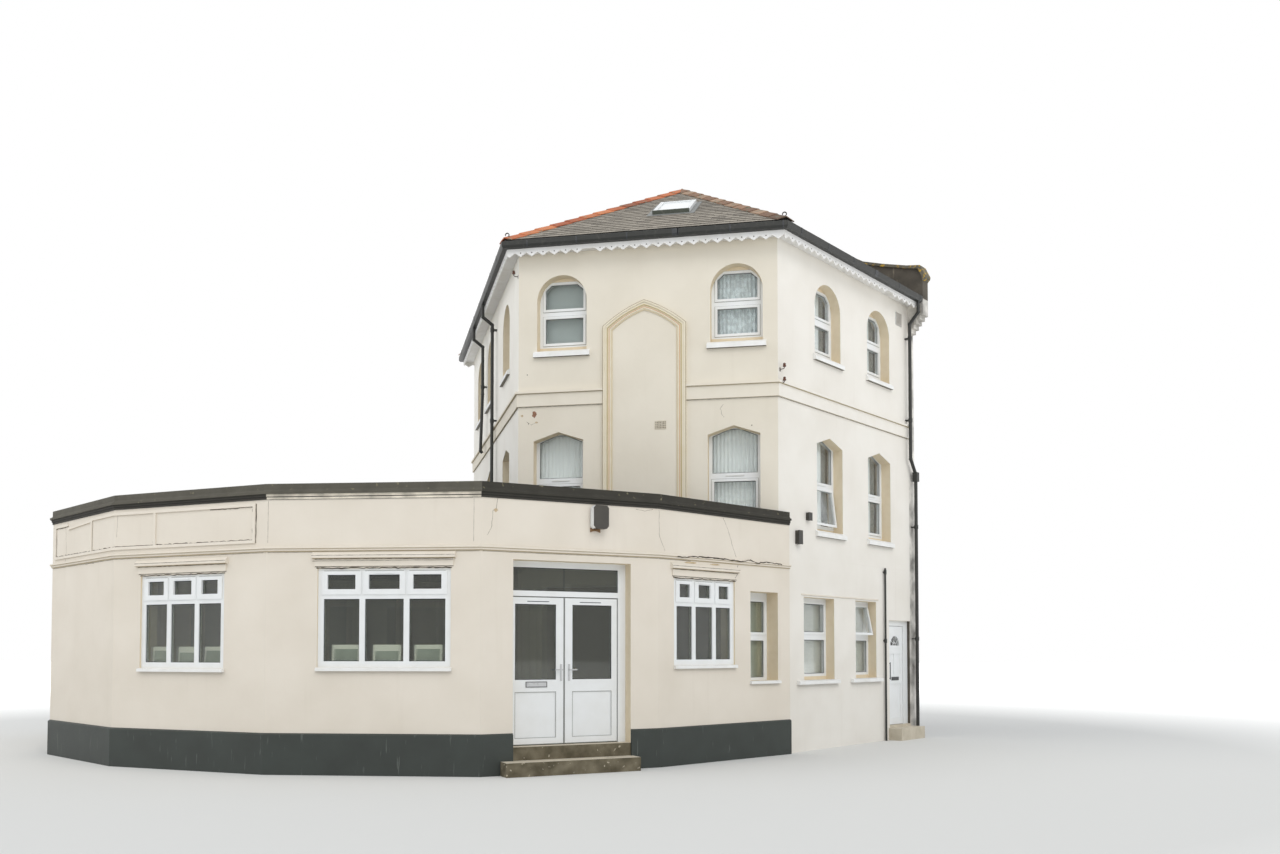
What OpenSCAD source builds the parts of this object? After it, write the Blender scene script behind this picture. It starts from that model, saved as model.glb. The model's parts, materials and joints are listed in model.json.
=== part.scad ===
// Corner shop with a three-storey house behind it, in millimetres.
// The cut-off corner face of the house looks along -Y, and the ground is at Z = 0.
// Headings are in degrees, counted anticlockwise from +X.

/* [House plan] */
// Width of the cut-off corner face
corner_face = 4630; // [4500:10:4800]
// Width of the right-hand face, as far as the neighbour's wall
right_face = 5090; // [5000:10:5400]
// Width of the left-hand face
left_face = 7070; // [6900:10:7300]
// Heading of the right-hand face
right_heading = 59.7; // [58:0.1:61]
// Heading of the left-hand face, seen from the corner face
left_heading = 116; // [114:0.5:118]

/* [Shop plan] */
// How far the shop's first corner lies left of the corner face
shop_left = 7600; // [7400:10:7800]
// How far the shop's first corner stands out in front of the corner face
shop_out = 2210; // [2100:10:2300]
// Widths of the four faces that bend round the corner, from the left
bend_faces = [2720, 2955, 3125, 2790];
// Headings of those four faces
bend_headings = [-32.5, -11.7, 5.7, 36.5];
// How far the shop's last wall runs on past the corner of the house
shop_lap = 240; // [200:10:300]
// How far that wall stands proud of the house
shop_proud = 60; // [40:5:80]

/* [Walls and floors] */
// Thickness of the outer walls
wall_t = 330; // [300:10:360]
// Thickness of the wall to the neighbour
party_t = 240; // [220:10:240]
// Height of the shop floor above the lowest ground
shop_floor_z = 390; // [360:10:420]
// Height of the house floor above the lowest ground
house_floor_z = 270; // [240:10:300]
// Underside of the shop's flat roof
shop_ceiling_z = 3400; // [3350:10:3450]
// Top of the shop's flat roof
shop_deck_z = 3600; // [3560:10:3700]
// Top of the shop's walls, below the dark capping
parapet_z = 3920; // [3900:10:3960]
// Height of the capping, and of the stepped moulding under it
cap_h = 225; // [200:5:260]
cap_foot_h = 76; // [60:2:90]
// Top of the first floor
first_floor_z = 3200; // [3150:10:3250]
// Top of the second floor
second_floor_z = 6350; // [6300:10:6400]
// Thickness of the upper floors
floor_t = 250; // [200:10:300]

/* [Upper windows] */
// Width of the upper windows
upper_w = 910; // [860:10:940]
// Sill of the first-floor windows
first_sill = 3930; // [3900:10:3960]
// Where the pointed heads of the first floor start
first_spring = 5505; // [5450:5:5550]
// Rise of the pointed heads
first_rise = 150; // [120:5:200]
// Sill of the second-floor windows
second_sill = 7120; // [7080:10:7160]
// Top of the round heads of the second floor
second_top = 8480; // [8440:10:8520]
// Depth from the wall's face to the window frames
reveal = 200; // [180:5:210]
// How far the one tilted light of the first floor stands open, in degrees
open_light = 7.3; // [0:0.1:9]

/* [Ground-floor windows] */
// Middles of the two windows on the right-hand face
ground_middles = [1310, 3014];
// Half their widths
ground_halves = [520, 402];
// Foot of their openings
ground_sill = 1245; // [1220:5:1280]
// Depth from the wall's face to their frames
ground_reveal = 178; // [160:2:200]
// How far the upper light of the second one stands open, in degrees
open_vent = 12; // [0:0.5:14]

/* [Shop windows] */
// Depth from the wall's face to the frames
shop_reveal = 30; // [20:5:60]
// Widths of their side members and mullions
side_member = 85; // [70:5:100]
mullion = 82; // [70:2:100]
// How much wider the middle light is
middle_more = 41; // [30:1:50]

/* [Roof] */
// Pitch of the slated roof
pitch = 31; // [28:0.5:34]
// Height of the slates' edge at the eaves
eave_z = 9060; // [9040:10:9100]
// How far the slates reach out past the walls
eave_out = 280; // [260:10:290]
// Thickness of slates and boarding, measured upright
roof_t = 70; // [60:5:80]
// How far the neighbour's wall stands up above the slates
upstand = 200; // [180:10:260]

/* [Eaves] */
// Distance between the points of the saw-tooth board
tooth_pitch = 207; // [190:1:220]
// Height of its points, and of the valleys between them
tooth_tip = 8770; // [8750:5:8790]
tooth_valley = 8840; // [8820:5:8860]
// Underside of the gutter
gutter_z = 8915; // [8905:1:8925]

/* [Doors] */
// Thickness of the door leaves
leaf_t = 60; // [56:1:66]
// Gap round the door leaves
leaf_gap = 8; // [7:0.5:9]
// Gap between the two shop doors
meeting_gap = 12; // [11:0.5:14]
// Height of the shop doors
shop_leaf_h = 2142; // [2100:2:2180]
// Left side and width of the opening for the shop doors
entrance_s = 472; // [460:2:490]
entrance_w = 1850; // [1800:2:1880]
// Height of the entrance opening's head
entrance_head = 3060; // [3020:10:3100]
// Widths of the entrance frame's left and right sides
jambs = [72, 123];
// Left side, right side, foot and head of the street door's opening
street_door = [3940, 4849, 283, 2370];
// Widths of the street door frame's left and right sides
street_jambs = [57, 191];

/* [Hidden] */
// Gap left where pieces stand face to face
seam = 0.5;

// Colours of the finishes
cream = "#dcd3c0";
pale = "#e9e4da";
dark = "#3a3b38";
upvc = "#f4f4f2";
pane = "#7f8f96";
slate = "#6d7075";
terracotta = "#a4573f";
stone = "#8d8a84";

// Points and headings
function way(h) = [cos(h), sin(h)];
function heading(p, q) = atan2(q.y - p.y, q.x - p.x);
function inward(p, h, d) = p + d * [-sin(h), cos(h)];
function cross2(a, b) = a.x * b.y - a.y * b.x;
function meet(p, a, q, b) = p + way(a) * cross2(q - p, way(b)) / cross2(way(a), way(b));
function corner_in(a, b, c, d) =
    meet(inward(b, heading(a, b), d), heading(a, b), inward(b, heading(b, c), d), heading(b, c));

// Corners of the house: each face runs so that the rooms lie on its left
L = [0, 0];
R = [corner_face, 0];
E = R + right_face * way(right_heading);
F = L + left_face * way(left_heading);
rear_heading = left_heading + 90;
party_heading = right_heading + 90;
left_run = left_heading - 180;
K = meet(E, party_heading, F, rear_heading);
Ep = E - party_t * way(right_heading);
Kp = meet(Ep, party_heading, F, rear_heading);
Li = corner_in(F, L, R, wall_t);
Ri = corner_in(L, R, E, wall_t);
Fi = corner_in(K, F, L, wall_t);
Ei = inward(Ep, right_heading, wall_t);
Ki = meet(Ep, party_heading, inward(F, rear_heading, wall_t), rear_heading);
// Outline of the house, grown by d
function house_outline(d) = [corner_in(F, L, R, -d), corner_in(L, R, E, -d),
    inward(E, right_heading, -d), inward(K, rear_heading, -d), corner_in(K, F, L, -d)];

// Corners of the shop, from its far left round to the right
A = [-shop_left, -shop_out];
B = A + bend_faces[0] * way(bend_headings[0]);
C = B + bend_faces[1] * way(bend_headings[1]);
D = C + bend_faces[2] * way(bend_headings[2]);
S = D + bend_faces[3] * way(bend_headings[3]);
G = inward(R + shop_lap * way(right_heading), right_heading, -shop_proud);
H = meet(A, left_heading, F, rear_heading);
shop_line = [H, A, B, C, D, S, G];

// Offset corner of an open line of points, with d towards the rooms
function offset_at(pts, i, d) =
    i == 0 ? inward(pts[0], heading(pts[0], pts[1]), d)
    : i == len(pts) - 1 ? inward(pts[i], heading(pts[i - 1], pts[i]), d)
    : corner_in(pts[i - 1], pts[i], pts[i + 1], d);
// Inner corners of the shop's walls, with a gap left inside them
function lap_foot(gap) = R + (shop_lap - gap) * way(right_heading);
function shop_in(i, gap = 0) = i == 0 ? corner_in(F, H, A, wall_t + gap)
    : i == 6 ? meet(inward(S, heading(S, G), wall_t + gap), heading(S, G), lap_foot(gap), party_heading)
    : offset_at(shop_line, i, wall_t + gap);
// Inner corners on the party wall, at the front and at the rear
function party_front(gap) = inward(Ep - gap * way(right_heading), right_heading, wall_t + gap);
function party_rear(gap) = meet(party_front(gap), party_heading,
    inward(F, rear_heading, wall_t + gap), rear_heading);

// Middle of the whole plan, where the origin stands
gutter_out = 345;
kneeler_out = 406;
cap_out = 52;
eaves_line = [Kp, F, L, R, Ep - 2 * seam * way(right_heading)];
far_left = corner_in(F, H, A, -cap_out);
far_front = corner_in(B, C, D, -cap_out);
far_right = inward(E, right_heading, -kneeler_out);
far_back = inward(Kp, rear_heading, -gutter_out);
middle = [(far_left.x + far_right.x) / 2, (far_front.y + far_back.y) / 2];

module in_place() translate([-middle.x, -middle.y, 0]) children();
module on_face(p, h) in_place() translate([p.x, p.y, 0]) rotate([0, 0, h]) children();
module slab(pts, z0, z1) in_place() translate([0, 0, z0]) linear_extrude(z1 - z0) polygon(pts);
// A profile with inward and upward coordinates, drawn along a face from x0 to x1
module along_face(x0, x1) translate([x0, 0, 0]) rotate([90, 0, 90]) linear_extrude(x1 - x0) children();
// An elevation with sideways and upward coordinates, from depth y0 to y1
module through(y0, y1) translate([0, y1, 0]) rotate([90, 0, 0]) linear_extrude(y1 - y0) children();

// The space between the mitres at points i and i + 1 of a line
module mitre_zone(pts, i, d_out, d_in, z0, z1) slab([offset_at(pts, i, -d_out),
    offset_at(pts, i + 1, -d_out), offset_at(pts, i + 1, d_in), offset_at(pts, i, d_in)], z0, z1);
// A profile drawn along a line of points, cut to its mitres
module run(pts, d_out, d_in, z0, z1) for (i = [0:len(pts) - 2]) intersection() {
    on_face(pts[i], heading(pts[i], pts[i + 1])) along_face(-2000, norm(pts[i + 1] - pts[i]) + 2000)
        children();
    mitre_zone(pts, i, d_out, d_in, z0, z1);
}

// Upper windows: centre along the face, counted from the face's first corner
corner_first = [740, 3870];
corner_second = [800, 3920];
right_first = [1710, 3590];
right_second = [1660, 3585];
left_all = [1270, 3070, 5495];
rear_all = [1250, 3150];
frame_d = 70;
frame_w = 61;
glass_t = 24;
glass_in = (frame_d - glass_t) / 2;
// Lights that open: width of their bars, lap over the frame, how far they stand proud, and depth
sash_w = 44;
sash_lap = 12;
sash_proud = 14;
sash_d = 56;
sash_play = 2;
spring_r = upper_w / 2;
second_spring = second_top - spring_r;
light_half = upper_w / 2 - frame_w;

// Shapes of the upper windows, upright in their walls
module upright(half, foot, head) translate([-half, foot]) square([2 * half, head - foot]);
module cut_head(half, foot, side_top, head, flat) polygon([[-half, foot], [half, foot], [half, side_top],
    [flat, head], [-flat, head], [-half, side_top]]);
module pointed_outline() polygon([[-upper_w / 2, first_sill], [upper_w / 2, first_sill],
    [upper_w / 2, first_spring], [0, first_spring + first_rise], [-upper_w / 2, first_spring]]);
module round_outline(gap = 0) {
    upright(spring_r - gap, second_sill, second_spring);
    translate([0, second_spring]) circle(spring_r - gap, $fn = 64);
}
// The frames stand behind the openings' faces and have flat tops with cut corners
first_foot = first_sill + 70;
second_foot = second_sill + 110;
module first_outline()
    cut_head(upper_w / 2, first_foot, first_spring + 10, first_spring + first_rise - 5, 160);
module second_outline() cut_head(upper_w / 2, second_foot, second_top - 250, second_top - 55, 280);
// Foot of the glass in the upper lights
first_upper = 4860;
second_upper = 7930;
module first_upper_light()
    cut_head(light_half, first_upper, first_spring + 5, first_spring + first_rise - 21, 100);
module second_upper_light()
    cut_head(light_half - sash_w, second_upper, second_top - 205, second_top - 107, 241);
module second_upper_sash()
    cut_head(light_half, second_upper - sash_w, second_top - 187, second_top - 63, 259);
// Half width, foot and top of the lower lights
first_low = [light_half + sash_lap - sash_w, 4094, 4713];
second_low = [light_half - sash_w, 7309, 7755];
module light(v, grow = 0) upright(v[0] + grow, v[1] - grow, v[2] + grow);
module sash_ring(v) difference() {
    light(v, sash_w);
    light(v);
}

module window_holes(first, second) {
    for (x = first) translate([x, 0, 0]) {
        through(-50, reveal + 1) pointed_outline();
        through(reveal, wall_t + 50) first_outline();
    }
    for (x = second) translate([x, 0, 0]) {
        through(-50, reveal + 1) round_outline();
        through(reveal, wall_t + 50) second_outline();
    }
}
// Hangs a light by its head in front of a frame at depth y, swung out at its foot
module hung(v, y, swing) translate([0, y - sash_proud - 1, v[2] + sash_w]) rotate([-swing, 0, 0])
    translate([0, 0, -v[2] - sash_w]) children();
// A light that opens, shut or swung out on two hinge blocks
module sash(v, y, swing) {
    if (swing == 0) through(y - sash_proud, y + 1) sash_ring(v);
    else {
        hung(v, y, swing) {
            through(0, sash_proud) sash_ring(v);
            through(sash_proud - 1, sash_d) difference() {
                light(v, sash_w - sash_lap - sash_play);
                light(v);
            }
        }
        for (x = [-1, 1] * (v[0] + sash_w - sash_lap)) translate([x - 6, y + 5, v[2] + 2])
            cube([12, 30, 24]);
    }
}
module sash_opening(v, swing) light(v, swing == 0 ? 0 : sash_w - sash_lap);
module pane_of(v, y, swing)
    if (swing == 0) through(y + glass_in, y + glass_in + glass_t) light(v);
    else hung(v, y, swing) through(glass_in - 3, glass_in - 3 + glass_t) light(v);
// Places children on every face of the house
module each_window(corner, right, left, rear) {
    on_face(L, 0) for (x = corner) translate([x, 0, 0]) children();
    on_face(R, right_heading) for (x = right) translate([x, 0, 0]) children();
    on_face(F, left_run) for (x = left) translate([x, 0, 0]) children();
    on_face(K, rear_heading) for (x = rear) translate([x, 0, 0]) children();
}
module each_shut_first() each_window(corner_first, [right_first[1]], left_all, rear_all) children();
module tilted_first() on_face(R, right_heading) translate([right_first[0], 0, 0]) children();
module each_first() each_window(corner_first, right_first, left_all, rear_all) children();
module each_second() each_window(corner_second, right_second, left_all, rear_all) children();

// Space under the slates of the four eaves, with the surface lifted or lowered
far = 16000;
module slope(p, h, lift, out) on_face(p, h) along_face(-far, far)
    polygon([[-out, 0], [-out, eave_z + lift + (eave_out - out) * tan(pitch)],
        [far, eave_z + lift + (far + eave_out) * tan(pitch)], [far, 0]]);
module roof_space(lift, out) intersection() {
    slope(F, left_run, lift, out);
    slope(L, 0, lift, out);
    slope(R, right_heading, lift, out);
    slope(K, rear_heading, lift, out);
}
apex = meet(L, heading(L, Li), R, heading(R, Ri));
side_meet = meet(L, left_heading, R, right_heading);
top = meet(apex, heading(side_meet, apex), F, heading(F, Fi));
rear_meet = meet(R, right_heading, F, rear_heading);
ridge_end = meet(top, heading(rear_meet, top), Ep, party_heading);
function roof_z(p) = eave_z + tan(pitch)
    * (eave_out + min(cross2(way(right_heading), p - R), cross2(way(left_run), p - F),
        cross2(way(rear_heading), p - F), p.y));

// Walls of the house
module upper_wall(pts, z0 = shop_ceiling_z) intersection() {
    slab(pts, z0, 12000);
    roof_space(-roof_t, 1000);
}
module corner_wall() color(cream) difference() {
    upper_wall([L, R, Ri, Li]);
    on_face(L, 0) window_holes(corner_first, corner_second);
}
module left_wall() color(cream) difference() {
    upper_wall([F, L, Li, Fi]);
    on_face(F, left_run) window_holes(left_all, left_all);
}
module right_wall() color(pale) difference() {
    upper_wall([R, Ep, Ei, Ri]);
    on_face(R, right_heading) window_holes(right_first, right_second);
}
module rear_wall() color(cream) difference() {
    upper_wall([Kp, F, Fi, Ki], 0);
    on_face(K, rear_heading) window_holes(rear_all, rear_all);
}
// Elevation of the wall to the neighbour: depth behind the right-hand face, and height
party_len = norm(K - E);
ridge_x = (ridge_end - Ep) * way(party_heading);
function party_z(x) = roof_z(Ep + x * way(party_heading)) + upstand;
// The kneeler's corbels, each a course of masonry that stands out beyond the one below
corbels = 5;
corbel_out = 68;
corbel_h = 80;
corbel_foot = 8340;
kneeler_face = concat([for (i = [0:corbels - 1]) for (f = [0, 1])
    [-corbel_out * (i + f), corbel_foot + corbel_h * i]], [[-corbel_out * corbels, 9440]]);
// Top of the kneeler and the party wall, which sweeps up to the roof's pitch
kneeler_top = [[-250, 9625], [0, 9690], [550, 9860], [1000, 10020]];
sweep_end = 1300;
party_end = party_len + 500;
function party_top(lift) = [for (p = concat(kneeler_top, [for (x = [sweep_end, ridge_x, party_end])
    [x, party_z(x)]])) p + [0, lift]];
module party_wall() color(stone) intersection() {
    slab([Ep, inward(Ep, right_heading, -500), inward(E, right_heading, -500), E, K, Kp], 0, 14000);
    on_face(E, party_heading) through(-10, party_t + 10)
        polygon(concat([[0, 0]], kneeler_face, party_top(0), [[party_end, 0]]));
}
// The two tall windows: foot of the frame, foot and top of both lights, and head
ground_z = [1302, 1351, 1960, 2101, 2609, 2712];
module ground_hole(half) {
    through(-50, ground_reveal + 1) upright(half, ground_sill, ground_z[5]);
    through(ground_reveal, wall_t + 50) upright(half, ground_z[0], ground_z[5]);
}
module right_ground_wall() color(pale) on_face(R, right_heading) difference() {
    translate([shop_lap + seam, 0, 0])
        cube([street_door[0] - shop_lap - seam, wall_t, shop_ceiling_z - seam]);
    for (i = [0, 1]) translate([ground_middles[i], 0, 0]) ground_hole(ground_halves[i]);
}
module street_door_lintel() color(pale) on_face(R, right_heading)
    translate([street_door[0], 0, street_door[3]])
        cube([street_door[1] - street_door[0], wall_t, shop_ceiling_z - seam - street_door[3]]);

// The wide openings between shop and house on the ground floor
beam_z = 2900;
pier_w = 450;
module inner_line(z0, z1) difference() {
    union() {
        slab([L, R, Ri, Li], z0, z1);
        slab([F + (wall_t + seam) * way(left_run), L, Li, Fi + seam * way(left_run)], z0, z1);
    }
    shop_end_space(z0 - 10, z1 + 10);
}
// The shop's last wall with a gap inside it
module shop_end_space(z0, z1)
    slab([G, G + 1000 * way(face_heading(5)), shop_in(6, seam), shop_in(5, seam), S], z0, z1);
module inner_beams() color(cream) inner_line(beam_z, shop_ceiling_z);
module inner_piers() color(cream) intersection() {
    inner_line(house_floor_z, beam_z);
    union() {
        slab([L + [-pier_w, -10], L + [pier_w, -10], L + [pier_w, 900], L + [-pier_w, 900]], 0, 4000);
        slab([R + [-2 * pier_w, -10], R + [0, -10], R + [0, 400], R + [-2 * pier_w, 400]], 0, 4000);
        on_face(F, left_run) translate([wall_t, -10, 0]) cube([pier_w, wall_t + 20, 4000]);
        on_face(F, left_run) translate([left_face / 2, -10, 0]) cube([pier_w, wall_t + 20, 4000]);
    }
}

// Walls of the shop
function shop_wall_pts(i) = [shop_line[i], shop_line[i + 1], shop_in(i + 1), shop_in(i)];
module shop_wall(pts, z0 = 0) difference() {
    slab(pts, z0, parapet_z);
    slab(house_outline(seam), shop_ceiling_z - seam, parapet_z + 10);
}
// Shop windows: face, left and right side, foot and head
shop_windows = [[2, 552, 2187, 1498, 2886], [3, 758, 2692, 1522, 2925], [5, 326, 1713, 1535, 2884]];
// Side light: face, middle, half width, and depth of its frame
side_light = [5, 2440, 350, 250];
side_z = [1265, 1311, 1935, 2074, 2594, 2745];
rear_z = [1498, 2886];
rear_windows = [[1900, 3550], [4600, 6250]];
function face_heading(i) = heading(shop_line[i], shop_line[i + 1]);
module shop_hole(w) on_face(shop_line[w[0]], face_heading(w[0]))
    translate([w[1], -50, w[3]]) cube([w[2] - w[1], wall_t + 100, w[4] - w[3]]);
module shop_side_wall() color(cream) shop_wall(shop_wall_pts(0));
module shop_far_left_wall() color(cream) shop_wall(shop_wall_pts(1));
module shop_left_wall() color(cream) difference() {
    shop_wall(shop_wall_pts(2));
    shop_hole(shop_windows[0]);
}
module shop_front_wall() color(cream) difference() {
    shop_wall(shop_wall_pts(3));
    shop_hole(shop_windows[1]);
}
module shop_right_wall() color(cream) difference() {
    shop_wall(shop_wall_pts(5));
    shop_hole(shop_windows[2]);
    on_face(S, face_heading(5)) translate([side_light[1], 0, 0]) through(-50, wall_t + 50)
        upright(side_light[2], side_z[0], side_z[5]);
}
module shop_rear_wall() color(cream) difference() {
    shop_wall([F + 2 * seam * way(rear_heading), H, shop_in(0), Fi + 2 * seam * way(rear_heading)]);
    on_face(F, rear_heading) for (w = rear_windows) translate([w[0], -50, rear_z[0]])
        cube([w[1] - w[0], wall_t + 100, rear_z[1] - rear_z[0]]);
}
entrance_heading = bend_headings[3];
// Depth of the door frame, and its left edge behind the wall's edge
frame_in = 190;
frame_s = 396;
frame_end = entrance_s + entrance_w;
module entrance_side_walls() color(cream) difference() {
    shop_wall(shop_wall_pts(4));
    on_face(D, entrance_heading) {
        translate([entrance_s, -500, -10]) cube([entrance_w, 1500, 5000]);
        translate([frame_s, frame_in, shop_floor_z])
            cube([entrance_s - frame_s + 1, 1000, entrance_head - shop_floor_z]);
    }
}
module entrance_lintel() color(cream) on_face(D, entrance_heading)
    translate([entrance_s, 0, entrance_head]) cube([entrance_w, wall_t, parapet_z - entrance_head]);

// Floors and the flat roof
module ground_inside(z0, z1)
    slab([for (i = [0:6]) shop_in(i, seam), inward(lap_foot(seam), right_heading, wall_t + seam),
        party_front(seam), party_rear(seam)], z0, z1);
module shop_floor() color(stone) difference() {
    ground_inside(0, shop_floor_z);
    slab(house_outline(seam), -10, shop_floor_z + 10);
}
module house_floor() color(stone) intersection() {
    ground_inside(0, house_floor_z);
    slab([L, R, E, K, F], -10, house_floor_z + 10);
}
house_inside = [corner_in(F, L, R, wall_t + seam), corner_in(L, R, E, wall_t + seam),
    party_front(seam), party_rear(seam), corner_in(K, F, L, wall_t + seam)];
module first_floor() color("#9c8f7c") slab(house_inside, first_floor_z - floor_t, first_floor_z);
module second_floor() color("#9c8f7c") slab(house_inside, second_floor_z - floor_t, second_floor_z);
module shop_roof() color(dark) difference() {
    ground_inside(shop_ceiling_z, shop_deck_z);
    slab(house_outline(seam), shop_ceiling_z - 10, shop_deck_z + 10);
}

// Capping, string and plinth of the shop
function arc(c, r, a0, a1, n) = [for (k = [0:n]) c + r * way(a0 + (a1 - a0) * k / n)];
cap_foot_z = parapet_z + cap_foot_h;
cap_top_z = parapet_z + cap_h;
cove_r = 40;
module cap_profile() polygon(concat(
    [[wall_t, cap_foot_z + seam], [wall_t, cap_top_z - 35], [wall_t / 2, cap_top_z],
        [cove_r - cap_out, cap_top_z], [cove_r - cap_out, cap_top_z - 75]],
    arc([-cap_out, cap_top_z - 75], cove_r, 0, -90, 6), [[-cap_out, cap_foot_z + seam]]));
module cap_foot_profile() polygon([[wall_t, parapet_z + seam], [wall_t, cap_foot_z], [-28, cap_foot_z],
    [-28, cap_foot_z - 36], [-14, cap_foot_z - 46], [-14, parapet_z + seam]]);
module along_parapet() difference() {
    run(concat([F], shop_line), 150, wall_t + 50, parapet_z - 10, cap_top_z + 10) children();
    slab(house_outline(seam), parapet_z - 10, cap_top_z + 10);
}
module parapet_cap() color(dark) along_parapet() cap_profile();
module cap_moulding() color(cream) along_parapet() cap_foot_profile();
// Strips that frame the sign panels on the two left faces, one of them broken and hanging
panel_z = [3302, 3832];
strip_w = 45;
strip_t = 18;
panel_end = 2755;
broken = [740, 1763];
module strip(x, z, w, h) translate([x, -strip_t, z]) cube([w, strip_t - seam, h]);
module sign_panel_frames() color(cream) {
    difference() {
        run([A, B, C], 100, 50, panel_z[0] - 10, panel_z[1] + strip_w + 10) for (z = panel_z)
            translate([-strip_t, z]) square([strip_t - seam, strip_w]);
        on_face(A, bend_headings[0]) {
            translate([-200, -100, 3000]) cube([338, 200, 1000]);
            translate([broken[0], -100, 3800]) cube([broken[1] - broken[0], 200, 200]);
        }
        on_face(B, bend_headings[1]) translate([panel_end, -100, 3000]) cube([500, 200, 1000]);
    }
    on_face(A, bend_headings[0]) {
        for (x = [138, broken[1]]) strip(x, panel_z[0], strip_w, panel_z[1] + strip_w - panel_z[0]);
        translate([broken[1] + 5, 0, panel_z[1] - 20]) rotate([0, -2.5, 0]) strip(-1005, 0, 1005, strip_w);
    }
    on_face(B, bend_headings[1]) for (x = [805, panel_end - strip_w])
        strip(x, panel_z[0], strip_w, panel_z[1] + strip_w - panel_z[0]);
}
string_z = 3225;
module string_profile() polygon([[-seam, string_z - 60], [-25, string_z - 45],
    [-25, string_z - 20], [-45, string_z - 12], [-45, string_z + 8], [-seam, string_z + 20]]);
module shop_string() color(cream)
    run(shop_line, 100, 50, string_z - 100, string_z + 100) string_profile();
plinth_z = 590;
// The shop's lower step: height, reach, and its two ends along the face
step_z = 200;
step_out = 300;
step_s = [283, 2347];
module plinth_profile() polygon([[-seam, 0], [-30, 0], [-30, plinth_z - 20], [-seam, plinth_z]]);
module shop_plinth() color(dark) difference() {
    run(shop_line, 100, 50, -10, plinth_z + 10) plinth_profile();
    on_face(D, entrance_heading) {
        translate([entrance_s, -200, -10]) cube([entrance_w, 400, 800]);
        translate([step_s[0] - seam, -200, -10])
            cube([step_s[1] - step_s[0] + 2 * seam, 400, step_z + 10 + seam]);
    }
}
module hood_frieze(z) polygon([[-seam, z + 32], [-20, z + 32], [-20, z + 139], [-seam, z + 139]]);
module hood_ledge(z) polygon([[-seam, z + 138], [-20, z + 138], [-60, z + 148], [-60, z + 188],
    [-12, z + 237], [-seam, z + 237]]);
module window_hoods() color(cream) {
    for (w = shop_windows) on_face(shop_line[w[0]], face_heading(w[0])) {
        along_face(w[1] - 40, w[2] + 40) hood_frieze(w[4]);
        along_face(w[1] - 70, w[2] + 70) hood_ledge(w[4]);
    }
    // Thin drip moulding over the two tall windows
    on_face(R, right_heading) along_face(707, 3492)
        polygon([[-seam, 2744], [-14, 2744], [-14, 2758], [-seam, 2768]]);
}

// A shop window from its left side: three lights under three vents, the middle ones wider
function side_w(w) = (w - 2 * side_member - 2 * mullion - middle_more) / 3;
function light_x(w, k) = side_member + k * (side_w(w) + mullion) + (k == 2 ? middle_more : 0);
function light_w(w, k) = side_w(w) + (k == 1 ? middle_more : 0);
vent_edge = 56;
module wide_lights(w, foot, head) for (k = [0:2]) {
    translate([light_x(w, k), foot + 87]) square([light_w(w, k), head - foot - 87 - 432]);
    translate([light_x(w, k) + vent_edge, head - 293]) square([light_w(w, k) - 2 * vent_edge, 205]);
}
module wide_frame(w, foot, head) {
    through(shop_reveal, shop_reveal + frame_d) difference() {
        translate([0, foot]) square([w, head - foot]);
        wide_lights(w, foot, head);
    }
    through(shop_reveal - sash_proud, shop_reveal + 1) difference() {
        for (k = [0:2]) translate([light_x(w, k) - 25, head - 370]) square([light_w(w, k) + 50, 334]);
        wide_lights(w, foot, head);
    }
    // Slotted air strip on the middle vent
    translate([w / 2 - 140, shop_reveal - sash_proud - 10, head - 72]) cube([280, 12, 22]);
}
module wide_panes(w, foot, head)
    through(shop_reveal + glass_in, shop_reveal + glass_in + glass_t) wide_lights(w, foot, head);
// A tall window with a fixed light under one that opens
module tall_frame(half, z, low, top, y, swing) {
    through(y, y + frame_d) difference() {
        upright(half, z[0], z[5]);
        upright(low, z[1], z[2]);
        sash_opening([top, z[3], z[4]], swing);
    }
    sash([top, z[3], z[4]], y, swing);
}
module tall_panes(z, low, top, y, swing) {
    through(y + glass_in, y + glass_in + glass_t) upright(low, z[1], z[2]);
    pane_of([top, z[3], z[4]], y, swing);
}
side_half = side_light[2] - 80;
module shop_window_frames() color(upvc) {
    for (w = shop_windows) on_face(shop_line[w[0]], face_heading(w[0])) translate([w[1], 0, 0])
        wide_frame(w[2] - w[1], w[3], w[4]);
    for (w = rear_windows) on_face(F, rear_heading) translate([w[0], 0, 0])
        wide_frame(w[1] - w[0], rear_z[0], rear_z[1]);
    on_face(S, face_heading(5)) translate([side_light[1], 0, 0])
        tall_frame(side_light[2], side_z, side_half, side_half, side_light[3], 0);
}
module shop_glass() color(pane) {
    for (w = shop_windows) on_face(shop_line[w[0]], face_heading(w[0])) translate([w[1], 0, 0])
        wide_panes(w[2] - w[1], w[3], w[4]);
    for (w = rear_windows) on_face(F, rear_heading) translate([w[0], 0, 0])
        wide_panes(w[1] - w[0], rear_z[0], rear_z[1]);
    on_face(S, face_heading(5)) translate([side_light[1], 0, 0])
        tall_panes(side_z, side_half, side_half, side_light[3], 0);
    on_face(D, entrance_heading)
        through(frame_in + glass_in, frame_in + glass_in + glass_t) fanlight();
}

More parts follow.
